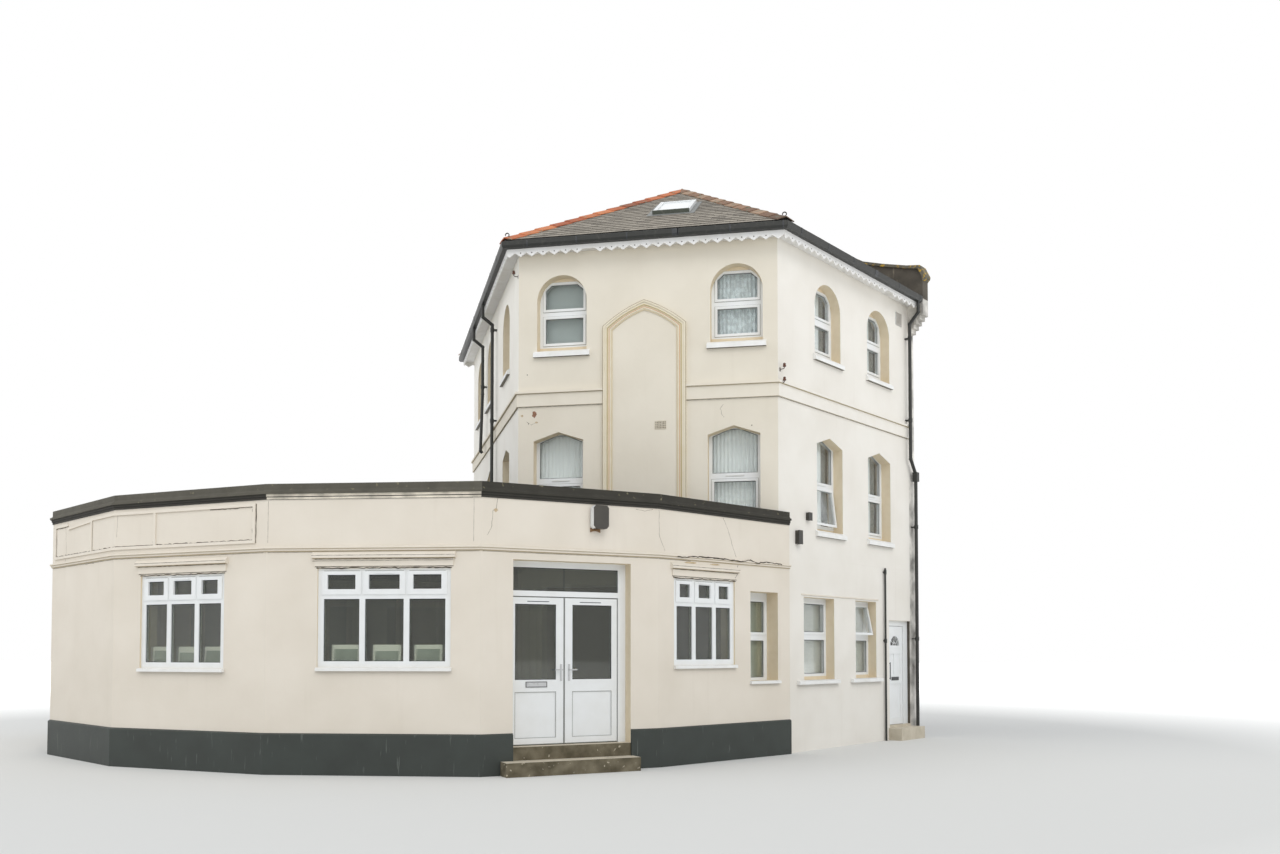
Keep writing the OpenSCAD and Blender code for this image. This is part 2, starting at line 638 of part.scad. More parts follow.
// Windows of the house
module first_window(swing) {
    through(reveal, reveal + frame_d) difference() {
        first_outline();
        first_upper_light();
        sash_opening(first_low, swing);
    }
    sash(first_low, reveal, swing);
    // Slotted air strip on the transom
    translate([-150, reveal - 11, 4806]) cube([300, 12, 25]);
}
module second_window() {
    through(reveal, reveal + frame_d) difference() {
        second_outline();
        second_upper_light();
        light(second_low);
    }
    sash(second_low, reveal, 0);
    through(reveal - sash_proud, reveal + 1) difference() {
        intersection() {
            second_upper_sash();
            round_outline(sash_play);
        }
        second_upper_light();
    }
}
ground_low = 62;
ground_top = 92;
swings = [0, open_vent];
module house_window_frames() color(upvc) {
    each_shut_first() first_window(0);
    tilted_first() first_window(open_light);
    each_second() second_window();
    on_face(R, right_heading) for (i = [0, 1]) translate([ground_middles[i], 0, 0])
        tall_frame(ground_halves[i], ground_z, ground_halves[i] - ground_low,
            ground_halves[i] - ground_top, ground_reveal, swings[i]);
}
module upper_pane() through(reveal + glass_in, reveal + glass_in + glass_t) children();
module house_glass() color(pane) {
    each_first() upper_pane() first_upper_light();
    each_shut_first() pane_of(first_low, reveal, 0);
    tilted_first() pane_of(first_low, reveal, open_light);
    each_second() upper_pane() {
        second_upper_light();
        light(second_low);
    }
    on_face(R, right_heading) for (i = [0, 1]) translate([ground_middles[i], 0, 0])
        tall_panes(ground_z, ground_halves[i] - ground_low, ground_halves[i] - ground_top,
            ground_reveal, swings[i]);
    on_roof_window() translate([window_edge, window_edge, 30])
        cube([roof_window_at[1] - 2 * window_edge, roof_window_at[3] - 2 * window_edge, glass_t]);
}
// Sills slope down to their front edges: ends, height at the wall, fall, thickness and reach
module sill(x0, x1, z, fall, t, out) along_face(x0, x1)
    polygon([[-seam, z], [-out, z - fall], [-out, z - fall - t], [-seam, z - fall - t]]);
module upper_sill(z) sill(-upper_w / 2 - 60, upper_w / 2 + 60, z, 45, 70, 60);
module shop_sill(x0, x1, z) sill(x0, x1, z, 10, 42, 50);
module window_sills() color(upvc) {
    difference() {
        each_first() upper_sill(first_sill);
        shop_end_space(0, cap_top_z + seam);
    }
    each_second() upper_sill(second_sill);
    on_face(R, right_heading) {
        sill(554, 1941, ground_sill - 2, 14, 59, 70);
        sill(2411, 3579, ground_sill - 2, 14, 59, 70);
    }
    for (w = shop_windows) on_face(shop_line[w[0]], face_heading(w[0])) shop_sill(w[1] - 8, w[2] + 18, w[3]);
    on_face(S, face_heading(5)) shop_sill(2067, 2820, side_z[0]);
    on_face(F, rear_heading) for (w = rear_windows) shop_sill(w[0], w[1], rear_z[0]);
}

// Bands and mouldings on the house
band = [6130, 6410];
module band_profile() polygon([[-seam, band[0]], [-30, band[0]], [-30, band[1] - 60],
    [-60, band[1] - 50], [-60, band[1] - 10], [-seam, band[1]]]);
niche_mid = 2302;
niche_half = 742;
// The band stops at the niche's frame on the cut-off corner
module string_course() color(cream) difference() {
    run(eaves_line, 100, 50, band[0] - 10, band[1] + 10) band_profile();
    on_face(L, 0) translate([niche_mid - niche_half - seam, -110, band[0] - 20])
        cube([2 * (niche_half + seam), 200, band[1] - band[0] + 40]);
}
// Steps of the niche's frame, from outside in: share of the way, and how far each stands out
niche_steps = [[0, 60], [0.21, 46], [0.54, 32], [0.83, 18], [1, 0]];
niche_bulge = 40;
// A point on the curved side of its pointed head, bulging out from the straight line
function niche_curve(half, rise, t) = let (len_s = norm([half, rise]), b = 4 * niche_bulge * t * (1 - t))
    [half * (1 - t) + b * rise / len_s, rise * t + b * half / len_s];
module niche_outline(f) {
    half = niche_half - 168 * f;
    spring = 7493 - 73 * f;
    rise = 435 - 101 * f;
    curve = [for (k = [0:6]) niche_curve(half, rise, k / 6) + [0, spring]];
    polygon(concat([[-half, shop_deck_z], [half, shop_deck_z]], curve,
        [for (k = [5:-1:0]) [-curve[k].x, curve[k].y]]));
}
module niche_moulding() color("#cbb58c") on_face(L, 0) translate([niche_mid, 0, 0]) difference() {
    through(-niche_steps[0][1], -seam) niche_outline(0);
    for (i = [1:3]) through(-100, -niche_steps[i][1]) niche_outline(niche_steps[i][0]);
    through(-100, 10) niche_outline(1);
}
// Alarm box over the entrance and cover of an air vent under the eaves
module wall_fittings() color(upvc) {
    on_face(D, entrance_heading) {
        translate([1700, -30, 3600]) cube([150, 30 - seam, 240]);
        translate([1653, 0, 0]) through(-150, -29) polygon([[0, 3590], [30, 3553], [212, 3553],
            [242, 3590], [242, 3854], [212, 3891], [30, 3891], [0, 3854]]);
    }
    on_face(R, right_heading) {
        translate([4305, -14, 8390]) cube([249, 14 - seam, 260]);
        for (k = [0:5]) translate([4325, -22, 8412 + 38 * k]) cube([209, 10, 22]);
    }
}

// Roof and eaves
module roof_shell() difference() {
    intersection() {
        roof_space(0, eave_out);
        slab([Ep - seam * way(right_heading) - 2000 * way(party_heading),
            Kp - seam * way(right_heading) + 2000 * way(party_heading),
            F + [-3000, 3000], L + [-3000, -3000], R + [3000, -3000]], eave_z - 300, 14000);
    }
    roof_space(-roof_t, 2000);
}
// One slope of the roof: its part of the plan runs from the eaves' corners in to the ridge
function eave_at(a, b, c) = corner_in(a, b, c, -eave_out - 300);
module roof_slope(plan) color(slate) intersection() {
    roof_shell();
    slab(plan, 0, 14000);
}
eave_l = eave_at(F, L, R);
eave_r = eave_at(L, R, E);
eave_f = eave_at(K, F, L);
eave_e = inward(E, right_heading, -eave_out - 300);
eave_k = inward(K, rear_heading, -eave_out - 300);
module corner_roof_slope() difference() {
    roof_slope([eave_l, eave_r, apex]);
    on_roof_window() translate([window_edge, window_edge, -300])
        cube([roof_window_at[1] - 2 * window_edge, roof_window_at[3] - 2 * window_edge, 600]);
}
module left_roof_slope() roof_slope([eave_f, eave_l, apex, top]);
module right_roof_slope() roof_slope([eave_r, eave_e, ridge_end, top, apex]);
module rear_roof_slope() roof_slope([eave_k, eave_f, top, ridge_end]);
// Angled tiles along the hips and ridges, laid over the slates
hip_half = 130;
hip_lift = 55;
module hip_strip(p, q, back) translate(p) rotate(heading(p, q)) translate([-back, -hip_half])
    square([norm(q - p) + back, 2 * hip_half]);
module hip_tiles() color(terracotta) difference() {
    intersection() {
        roof_space(hip_lift, eave_out + 20);
        in_place() linear_extrude(14000) {
            hip_strip(apex, L, eave_out);
            hip_strip(apex, R, 0);
            hip_strip(top, F, eave_out);
            hip_strip(apex, top, hip_half);
            hip_strip(top, ridge_end, hip_half);
        }
    }
    roof_space(seam, 3000);
    slab([Ep - seam * way(right_heading), Ep + 3000 * way(right_heading), Kp + 3000 * way(right_heading),
        Kp - seam * way(right_heading)], 0, 14000);
}
// Roof window: left edge, width, lower edge up the slope from the eave, length up the slope
roof_window_at = [2250, 700, 1650, 1180];
window_edge = 70;
module on_roof_window() on_face(L, 0) translate([roof_window_at[0], -eave_out, eave_z])
    rotate([pitch, 0, 0]) translate([0, roof_window_at[2], 0]) children();
module roof_window() color(upvc) on_roof_window() difference() {
    translate([0, 0, seam]) cube([roof_window_at[1], roof_window_at[3], 80]);
    translate([window_edge, window_edge, -10])
        cube([roof_window_at[1] - 2 * window_edge, roof_window_at[3] - 2 * window_edge, 200]);
}
module soffit_and_fascia() color(upvc) run(eaves_line, 400, 50, 8800, 9100)
    polygon([[-seam, 8890], [-220, 8890], [-220, 9020], [-198, 9020], [-198, 8905], [-seam, 8905]]);
// Saw-tooth board: the first point on each face, and the points that are missing
tooth_first = 104;
missing_teeth = [[], [], [6], [17]];
module tooth_outline(len_f, missing) polygon(concat([[-500, tooth_valley]],
    [for (k = [-2:floor(len_f / tooth_pitch) + 2]) for (p = [[-0.5, tooth_valley],
        [0, len(search(k, missing)) > 0 ? tooth_valley : tooth_tip]])
        [tooth_first + (k + p[0]) * tooth_pitch, p[1]]],
    [[len_f + 900, tooth_valley], [len_f + 900, 8985], [-500, 8985]]));
module valance() color(upvc) for (i = [0:3]) intersection() {
    on_face(eaves_line[i], heading(eaves_line[i], eaves_line[i + 1])) through(-240, -220)
        tooth_outline(norm(eaves_line[i + 1] - eaves_line[i]), missing_teeth[i]);
    mitre_zone(eaves_line, i, 400, 50, 8700, 9000);
}
module gutter() color(dark) run(eaves_line, 600, 50, 8900, 9100)
    polygon([[-240, gutter_z], [-320, gutter_z], [-345, gutter_z + 40], [-345, 9030], [-338, 9030],
        [-338, gutter_z + 42], [-317, gutter_z + 7], [-247, gutter_z + 7], [-247, 9000], [-240, 9000]]);
coping_t = 60;
coping_lap = 35;
coping_gap = 5;
// Moulded front of the coping, from under its nose up to the top
coping_nose = [[-348, 9372], [-398, 9422], [-406, 9467], [-298, 9687]];
module party_coping() color(stone) intersection() {
    slab([Ep - coping_lap * way(right_heading) - 500 * way(party_heading),
        E - coping_gap * way(right_heading) - 500 * way(party_heading),
        K - coping_gap * way(right_heading), Kp - coping_lap * way(right_heading)], 0, 14000);
    on_face(E, party_heading) through(-10, party_t + 100) difference() {
        polygon(concat([[-340 - seam, 9372]], coping_nose, [for (i = [1:6]) party_top(coping_t)[i]],
            [[party_end, 9000], [-340 - seam, 9000 + seam]]));
        polygon(concat([[-340 - seam, 8900], [-340 - seam, 9440]], party_top(seam), [[party_end, 8900]]));
    }
}
// A twelve-sided pipe through a row of points, with an elbow at every bend
pipe_r = 34;
module tube(p, q, r) translate(p) rotate([0, acos((q.z - p.z) / norm(q - p)), atan2(q.y - p.y, q.x - p.x)])
    cylinder(r = r, h = norm(q - p), $fn = 12);
module pipe(pts, r) {
    for (i = [0:len(pts) - 2]) tube(pts[i], pts[i + 1], r);
    for (i = [1:1:len(pts) - 2]) translate(pts[i]) sphere(r = r + 6, $fn = 12);
}
// Bracket from the wall to a pipe, and a collar round the pipe
module bracket(x, z, y, r) {
    translate([x - r - 8, y, z]) cube([2 * r + 16, -y - seam, 24]);
    translate([x, y, z - 28]) cylinder(r = r + 8, h = 80, $fn = 12);
}
pipe_y = -100;
left_pipe_y = -96;
outlet_y = -292;
// A pipe from the gutter that bends back to the wall: how far it drops to each bend, then its other points
module swan_neck(x, y, drop, rest) pipe(concat([[x, outlet_y, gutter_z - seam],
    [x, outlet_y, gutter_z - drop[0]], [x, y, gutter_z - drop[1]]], rest), pipe_r);
module rainwater_pipes() color(dark) {
    on_face(R, right_heading) {
        swan_neck(4740, pipe_y, [225, 435], [[4740, pipe_y, 5690]]);
        pipe([[4740, pipe_y, 5700], [4740, pipe_y, 5690], [4960, pipe_y, 5400], [4960, pipe_y, 0]], pipe_r);
        translate([4905, pipe_y - 50, 5250]) cube([110, 100, 190]);
        for (z = [8170, 6480]) bracket(4740, z, pipe_y, pipe_r);
        for (z = [4300, 2000]) bracket(4960, z, pipe_y, pipe_r);
        pipe([[3720, -40, 3390], [3720, -40, 0]], 20);
        for (z = [3300, 1947]) bracket(3720, z, -40, 20);
    }
    on_face(F, left_run) {
        swan_neck(4130, left_pipe_y, [260, 410], [[4130, left_pipe_y, shop_deck_z + 60]]);
        for (z = [8390, 6500, 4400]) bracket(4130, z, left_pipe_y, pipe_r);
        // This one hangs loose below its bracket and ends above the shop's roof
        swan_neck(2500, left_pipe_y, [260, 410], [[2500, left_pipe_y, 7450], [2500, left_pipe_y - 40, 6190],
            [2500, left_pipe_y, 6140]]);
        bracket(2500, 7600, left_pipe_y, pipe_r);
    }
}

// Shop entrance
leaf_z = 400;
leaf_space = [frame_s + jambs[0], frame_end - jambs[1]];
transom_z = leaf_z + shop_leaf_h + leaf_gap;
transom_h = 80;
fan_head = 90;
module fanlight() translate([leaf_space[0], transom_z + transom_h])
    square([leaf_space[1] - leaf_space[0], entrance_head - fan_head - transom_z - transom_h]);
module entrance_frame() color(upvc) on_face(D, entrance_heading)
    through(frame_in, frame_in + frame_d) difference() {
        translate([frame_s, shop_floor_z]) square([frame_end - frame_s, entrance_head - shop_floor_z]);
        translate([leaf_space[0], shop_floor_z - 10])
            square([leaf_space[1] - leaf_space[0], transom_z - shop_floor_z + 10]);
        fanlight();
    }
street_step = [3900, 4900, 235, 280];
module door_steps() color(stone) {
    on_face(D, entrance_heading) {
        translate([entrance_s, -seam, 0]) cube([entrance_w, wall_t, shop_floor_z]);
        translate([step_s[0], -step_out, 0]) cube([step_s[1] - step_s[0], step_out - seam, step_z]);
    }
    on_face(R, right_heading) {
        translate([street_door[0], -seam, 0]) cube([street_door[1] - street_door[0], wall_t, street_door[2]]);
        translate([street_step[0], -street_step[3], 0])
            cube([street_step[1] - street_step[0], street_step[3] - seam, street_step[2]]);
    }
}
leaf_w = (leaf_space[1] - leaf_space[0] - 2 * leaf_gap - meeting_gap) / 2;
// Stiles of a shop door: at the hinges and where the doors meet
hinge_stile = 95;
meeting_stile = 123;
leaf_glass_z = [937, shop_leaf_h - 105];
leaf_panel_z = [95, 760];
panel_depth = 12;
module leaf_part(first_stile, z) translate([first_stile, z[0]])
    square([leaf_w - hinge_stile - meeting_stile, z[1] - z[0]]);
// One shop door, from its lower left corner, with a recessed panel under the glass
module leaf(first_stile) difference() {
    cube([leaf_w, leaf_t, shop_leaf_h]);
    through(-10, leaf_t + 10) leaf_part(first_stile, leaf_glass_z);
    through(-10, panel_depth) leaf_part(first_stile, leaf_panel_z);
    through(leaf_t - panel_depth, leaf_t + 10) leaf_part(first_stile, leaf_panel_z);
}
module leaf_pane(first_stile) through((leaf_t - glass_t) / 2, (leaf_t + glass_t) / 2)
    leaf_part(first_stile, leaf_glass_z);
// Long plates and levers on both faces of a leaf, with the lever towards the hinge
module lever_set(x, z, way_in) for (side = [0, 1]) translate([0, side * leaf_t, 0])
    mirror([0, 1 - side, 0]) {
        translate([x - 15, 0, z - 123]) cube([30, 9, 246]);
        translate([x, 9, z + 41]) rotate([-90, 0, 0]) cylinder(r = 9, h = 36, $fn = 24);
        translate([x + (way_in < 0 ? -113 : -9), 36, z + 32]) cube([122, 16, 18]);
    }
module letter_plate(x, z, w, h) for (side = [0, 1]) translate([0, side * leaf_t, 0])
    mirror([0, 1 - side, 0]) translate([x - w / 2, 0, z - h / 2]) {
        cube([w, 8, h]);
        translate([18, 7, 14]) cube([w - 36, 7, h - 28]);
    }
lever_z = 1039;
left_leaf_s = leaf_space[0] + leaf_gap;
right_leaf_s = left_leaf_s + leaf_w + meeting_gap;
module on_shop_leaf(s) on_face(D, entrance_heading)
    translate([s, frame_in + frame_d - leaf_t, leaf_z]) children();
module shop_door_left() color(upvc) on_shop_leaf(left_leaf_s) leaf(hinge_stile);
module shop_door_right() color(upvc) on_shop_leaf(right_leaf_s) leaf(meeting_stile);
module shop_door_left_glass() color(pane) on_shop_leaf(left_leaf_s) leaf_pane(hinge_stile);
module shop_door_right_glass() color(pane) on_shop_leaf(right_leaf_s) leaf_pane(meeting_stile);
module shop_door_left_fittings() color("silver") on_shop_leaf(left_leaf_s) {
    lever_set(leaf_w - 44, lever_z, -1);
    letter_plate(423, 868, 322, 75);
}
module shop_door_right_fittings() color("silver") on_shop_leaf(right_leaf_s) lever_set(70, lever_z, 1);

// Street door, with two small panels over a wide one and a half-round light
street_in = 70;
street_leaf_s = street_door[0] + street_jambs[0] + leaf_gap;
street_leaf_w = street_door[1] - street_jambs[1] - leaf_gap - street_leaf_s;
street_leaf_z = street_door[2] + leaf_gap;
street_leaf_h = 1967;
street_light_r = 188;
street_panels = [[90, 994, 197, 417], [street_leaf_w - 287, 994, 197, 417],
    [90, 130, street_leaf_w - 180, 680]];
module street_door_frame() color(upvc) on_face(R, right_heading)
    through(street_in, street_in + frame_d) difference() {
        translate([street_door[0], street_door[2]])
            square([street_door[1] - street_door[0], street_door[3] - street_door[2]]);
        translate([street_leaf_s - leaf_gap, street_door[2] - 10])
            square([street_leaf_w + 2 * leaf_gap, street_leaf_h + 2 * leaf_gap + 10]);
    }
module on_street_leaf() on_face(R, right_heading)
    translate([street_leaf_s, street_in + frame_d - leaf_t, street_leaf_z]) children();
module half_round() translate([street_leaf_w / 2, 1581]) intersection() {
    circle(street_light_r, $fn = 48);
    translate([-street_light_r, 0]) square([2 * street_light_r, street_light_r]);
}
module street_door() color(upvc) on_street_leaf() difference() {
    cube([street_leaf_w, leaf_t, street_leaf_h]);
    through(-10, leaf_t + 10) half_round();
    for (p = street_panels) for (y = [-10, leaf_t - panel_depth])
        translate([p[0], y, p[1]]) cube([p[2], 10 + panel_depth, p[3]]);
}
module street_door_glass() color(pane) on_street_leaf()
    through((leaf_t - glass_t) / 2, (leaf_t + glass_t) / 2) half_round();
// Letter plate, and a bowed pull handle on two posts outside, a lever plate inside
module street_door_fittings() color("silver") on_street_leaf() {
    letter_plate(street_leaf_w / 2, 914, 300, 70);
    for (z = [920, 1220]) translate([50, 0, z]) rotate([90, 0, 0]) cylinder(r = 8, h = 40, $fn = 24);
    translate([42, -46, 899]) cube([16, 12, 344]);
    translate([35, leaf_t, 940]) cube([30, 9, 246]);
    translate([41, leaf_t + 8, 1080]) cube([120, 30, 18]);
}

corner_wall();
left_wall();
right_wall();
right_ground_wall();
street_door_lintel();
party_wall();
rear_wall();
inner_piers();
inner_beams();
shop_side_wall();
shop_far_left_wall();
shop_left_wall();
shop_front_wall();
entrance_side_walls();
entrance_lintel();
shop_right_wall();
shop_rear_wall();
shop_floor();
house_floor();
first_floor();
second_floor();
shop_roof();
parapet_cap();
shop_string();
shop_plinth();
window_hoods();
window_sills();
shop_window_frames();
shop_glass();
house_window_frames();
house_glass();
string_course();
niche_moulding();
corner_roof_slope();
left_roof_slope();
right_roof_slope();
rear_roof_slope();
hip_tiles();
roof_window();
soffit_and_fascia();
valance();
gutter();
party_coping();
rainwater_pipes();
entrance_frame();
door_steps();
shop_door_left();
shop_door_left_glass();
shop_door_left_fittings();
shop_door_right();
shop_door_right_glass();
shop_door_right_fittings();
street_door_frame();
street_door();
street_door_fittings();
street_door_glass();
cap_moulding();
sign_panel_frames();
wall_fittings();
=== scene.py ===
"""Dresses the corner shop building: finishes, roof covering, glazing, hangings and small fittings."""

import json
import logging
import math
import random
from dataclasses import dataclass
from enum import Enum
from typing import Any, Iterable, Sequence

import bmesh
import bpy
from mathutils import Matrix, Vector

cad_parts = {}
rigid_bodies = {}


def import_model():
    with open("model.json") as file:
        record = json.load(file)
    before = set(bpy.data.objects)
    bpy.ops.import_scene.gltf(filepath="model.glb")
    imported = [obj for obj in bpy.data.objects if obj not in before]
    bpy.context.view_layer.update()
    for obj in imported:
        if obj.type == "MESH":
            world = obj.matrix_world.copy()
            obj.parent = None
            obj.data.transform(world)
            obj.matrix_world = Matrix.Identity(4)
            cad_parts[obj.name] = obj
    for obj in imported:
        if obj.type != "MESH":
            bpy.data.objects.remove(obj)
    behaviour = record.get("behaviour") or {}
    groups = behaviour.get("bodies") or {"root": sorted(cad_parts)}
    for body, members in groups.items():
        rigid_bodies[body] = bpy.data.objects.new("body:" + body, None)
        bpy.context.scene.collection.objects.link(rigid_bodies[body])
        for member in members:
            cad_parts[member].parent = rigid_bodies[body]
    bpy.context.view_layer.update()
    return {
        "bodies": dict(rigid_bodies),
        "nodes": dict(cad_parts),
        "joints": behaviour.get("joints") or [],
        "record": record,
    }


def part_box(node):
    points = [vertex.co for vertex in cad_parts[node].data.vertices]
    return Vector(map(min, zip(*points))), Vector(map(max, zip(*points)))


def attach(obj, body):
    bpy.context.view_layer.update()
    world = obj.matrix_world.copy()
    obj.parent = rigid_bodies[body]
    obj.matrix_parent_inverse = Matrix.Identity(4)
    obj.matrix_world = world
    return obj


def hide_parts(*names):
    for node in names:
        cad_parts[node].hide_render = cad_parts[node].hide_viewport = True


log = logging.getLogger("corner_shop")
MM = 0.001
Point = tuple[float, float, float]
Flat = tuple[float, float]
Tree = bpy.types.NodeTree
Node = bpy.types.Node
Socket = bpy.types.NodeSocket
Piece = bpy.types.Object


# Plan of the building, in metres and degrees


def way(heading: float) -> Vector:
    """Returns the unit vector in plan along a heading in degrees."""
    turn = math.radians(heading)
    return Vector((math.cos(turn), math.sin(turn)))


def heading_of(start: Vector, end: Vector) -> float:
    """Returns the heading in degrees from one plan point to another."""
    return math.degrees(math.atan2(end.y - start.y, end.x - start.x))


def inward(point: Vector, heading: float, depth: float) -> Vector:
    """Returns a plan point moved by depth to the left of a heading."""
    return point + depth * way(heading + 90)


def meet(first: Vector, first_heading: float, second: Vector, second_heading: float) -> Vector:
    """Finds where two lines in plan cross.

    Args:
        first: A point on the first line.
        first_heading: The first line's heading in degrees.
        second: A point on the second line.
        second_heading: The second line's heading in degrees.

    Returns:
        The crossing point.
    """
    a, b = way(first_heading), way(second_heading)
    gap = second - first
    return first + a * ((gap.x * b.y - gap.y * b.x) / (a.x * b.y - a.y * b.x))


CORNER_WIDTH, RIGHT_WIDTH, LEFT_WIDTH, PARTY_THICK = 4.63, 5.09, 7.07, 0.24
RIGHT_HEADING, LEFT_HEADING = 59.7, 116.0
REAR_HEADING = LEFT_HEADING + 90
PARTY_HEADING = RIGHT_HEADING + 90
# The shop's faces follow each other from its far left corner; the last one ends on the right face.
SHOP_START = (-7.6, -2.21)
SHOP_WIDTHS = (2.72, 2.955, 3.125, 2.79)
SHOP_HEADINGS = (-32.5, -11.7, 5.7, 36.5)
SHOP_END_ALONG, SHOP_END_OUT = 0.24, 0.06


@dataclass(frozen=True)
class Run:
    """A straight face in plan.

    Args:
        start: Its left end, seen from outside, from the house's left front corner.
        heading: Its heading in degrees, with the rooms on its left.
        length: Its length in metres.
    """

    start: Vector
    heading: float
    length: float


def _runs() -> dict[str, Run]:
    """Works out every face's run from the plan's widths and headings.

    Returns:
        The runs, by the face's name.
    """
    left = Vector((0.0, 0.0))
    right = Vector((CORNER_WIDTH, 0.0))
    end = right + RIGHT_WIDTH * way(RIGHT_HEADING)
    far = left + LEFT_WIDTH * way(LEFT_HEADING)
    back = meet(end, PARTY_HEADING, far, REAR_HEADING)
    points = [Vector(SHOP_START)]
    for width, heading in zip(SHOP_WIDTHS, SHOP_HEADINGS):
        points.append(points[-1] + width * way(heading))
    points.append(inward(right + SHOP_END_ALONG * way(RIGHT_HEADING), RIGHT_HEADING, -SHOP_END_OUT))
    outer = meet(points[0], LEFT_HEADING, far, REAR_HEADING)
    names = ("AB", "BC", "CD", "DS", "SG")
    runs = {n: (p, q) for n, p, q in zip(names, points, points[1:])}
    runs.update(corner=(left, right), right=(right, end), left=(far, left), rear=(back, far))
    runs.update(shop_side=(outer, points[0]), shop_rear=(far, outer))
    return {n: Run(p, heading_of(p, q), (q - p).length) for n, (p, q) in runs.items()}


RUNS = _runs()


class Face(Enum):
    """The building's outer faces."""

    CORNER = "corner"
    RIGHT = "right"
    LEFT = "left"
    REAR = "rear"
    SHOP_FAR_LEFT = "AB"
    SHOP_LEFT = "BC"
    SHOP_FRONT = "CD"
    ENTRANCE = "DS"
    SHOP_RIGHT = "SG"
    SHOP_SIDE = "shop_side"
    SHOP_REAR = "shop_rear"

    @property
    def run(self) -> Run:
        """The face's run in plan."""
        return RUNS[self.value]


@dataclass(frozen=True)
class Site:
    """Turns a face's own measures into places in the part's frame.

    Args:
        origin: The house's left front corner in the part's frame.
    """

    origin: Vector

    def at(self, face: Face, along: float, depth: float, height: float) -> Vector:
        """Finds a place on a face.

        Args:
            face: The face.
            along: Distance from the face's left end, in metres.
            depth: Distance behind the face's surface, in metres.
            height: Height above the ground, in metres.

        Returns:
            The point in the part's frame.
        """
        run = face.run
        flat = inward(run.start + along * way(run.heading), run.heading, depth) + self.origin
        return Vector((flat.x, flat.y, height))

    def inward_of(self, face: Face) -> Vector:
        """Returns the unit vector that points into the building from a face."""
        flat = way(face.run.heading + 90)
        return Vector((flat.x, flat.y, 0.0))


# Finishes


def linear(code: str) -> tuple[float, float, float, float]:
    """Turns an sRGB hex value into linear light.

    Args:
        code: The value, as # and six digits.

    Returns:
        Red, green, blue and full alpha.
    """
    parts = [int(code[i : i + 2], 16) / 255 for i in (1, 3, 5)]
    red, green, blue = (p / 12.92 if p <= 0.04045 else ((p + 0.055) / 1.055) ** 2.4 for p in parts)
    return red, green, blue, 1.0


def add_node(
    tree: Tree,
    kind: str,
    settings: dict[str, Any] | None = None,
    links: dict[str | int, Socket] | None = None,
) -> Node:
    """Adds one node to a tree.

    Args:
        tree: The tree.
        kind: Blender's name for the kind of node.
        settings: Properties of the node, or values for its input sockets. A ramp is a list of
            places and hex colours.
        links: Sockets to join to its inputs, by the input's name or number.

    Returns:
        The new node.
    """
    node = tree.nodes.new(kind)
    for name, value in (settings or {}).items():
        if name == "ramp":
            while len(node.color_ramp.elements) < len(value):
                node.color_ramp.elements.new(1.0)
            for stop, (place, code) in zip(node.color_ramp.elements, value):
                stop.position, stop.color = place, linear(code)
        elif hasattr(node, name):
            setattr(node, name, value)
        else:
            node.inputs[name].default_value = value
    for name, socket in (links or {}).items():
        tree.links.new(socket, node.inputs[name])
    return node


@dataclass(frozen=True)
class Finish:
    """A finish with its colour, gloss and fine relief.

    Args:
        name: The material's name, which says what it is and how its surface was made.
        colour: Its main sRGB hex value.
        roughness: Roughness of the surface.
    """

    name: str
    colour: str
    roughness: float = 0.7

    def material(self) -> bpy.types.Material:
        """Makes the finish's Blender material at its first use.

        Returns:
            The material.
        """
        known = bpy.data.materials.get(self.name)
        if known:
            return known
        made = bpy.data.materials.new(self.name)
        made.use_nodes = True
        tree = made.node_tree
        tree.nodes.clear()
        values = {"Base Color": linear(self.colour), "Roughness": self.roughness}
        shader = add_node(tree, "ShaderNodeBsdfPrincipled", values)
        self.paint(tree, shader)
        out = tree.nodes.new("ShaderNodeOutputMaterial")
        tree.links.new(shader.outputs[0], out.inputs[0])
        return made

    def paint(self, tree: Tree, shader: Node) -> None:
        """Adds the finish's own patterns.

        Args:
            tree: The material's tree.
            shader: Its shader.
        """
        raise NotImplementedError

    def dress(self, *pieces: Piece) -> None:
        """Gives the finish to pieces in place of what they had.

        Args:
            pieces: The pieces.
        """
        for piece in pieces:
            piece.data.materials.clear()
            piece.data.materials.append(self.material())


def place(tree: Tree) -> Socket:
    """Returns the socket of the surface's place in the part's frame, in metres."""
    return add_node(tree, "ShaderNodeTexCoord").outputs["Object"]


def noise(tree: Tree, size_mm: float, detail: float, stretch: Point = (1, 1, 1)) -> Socket:
    """Adds a cloudy pattern.

    Args:
        tree: The tree.
        size_mm: The size of its blotches in millimetres.
        detail: How much finer pattern lies in it.
        stretch: How many times longer the blotches are along each axis.

    Returns:
        The pattern's socket, from 0 to 1.
    """
    scale = {"Scale": tuple(1 / s for s in stretch)}
    moved = add_node(tree, "ShaderNodeMapping", scale, {"Vector": place(tree)})
    values = {"Scale": 1000 / size_mm, "Detail": detail}
    return add_node(tree, "ShaderNodeTexNoise", values, {"Vector": moved.outputs[0]}).outputs["Fac"]


# The sockets of a mixing node that take and give colours
MIX_FIRST, MIX_SECOND, MIX_RESULT = 6, 7, 2


def blend(tree: Tree, share: Socket, first: Socket | str, second: Socket | str) -> Socket:
    """Mixes two colours, each a socket or a hex value.

    Args:
        tree: The tree.
        share: The second colour's share.
        first: The first colour.
        second: The second colour.

    Returns:
        The mixed colour's socket.
    """
    node = add_node(tree, "ShaderNodeMix", {"data_type": "RGBA"}, {0: share})
    for number, colour in ((MIX_FIRST, first), (MIX_SECOND, second)):
        if isinstance(colour, str):
            node.inputs[number].default_value = linear(colour)
        else:
            tree.links.new(colour, node.inputs[number])
    return node.outputs[MIX_RESULT]


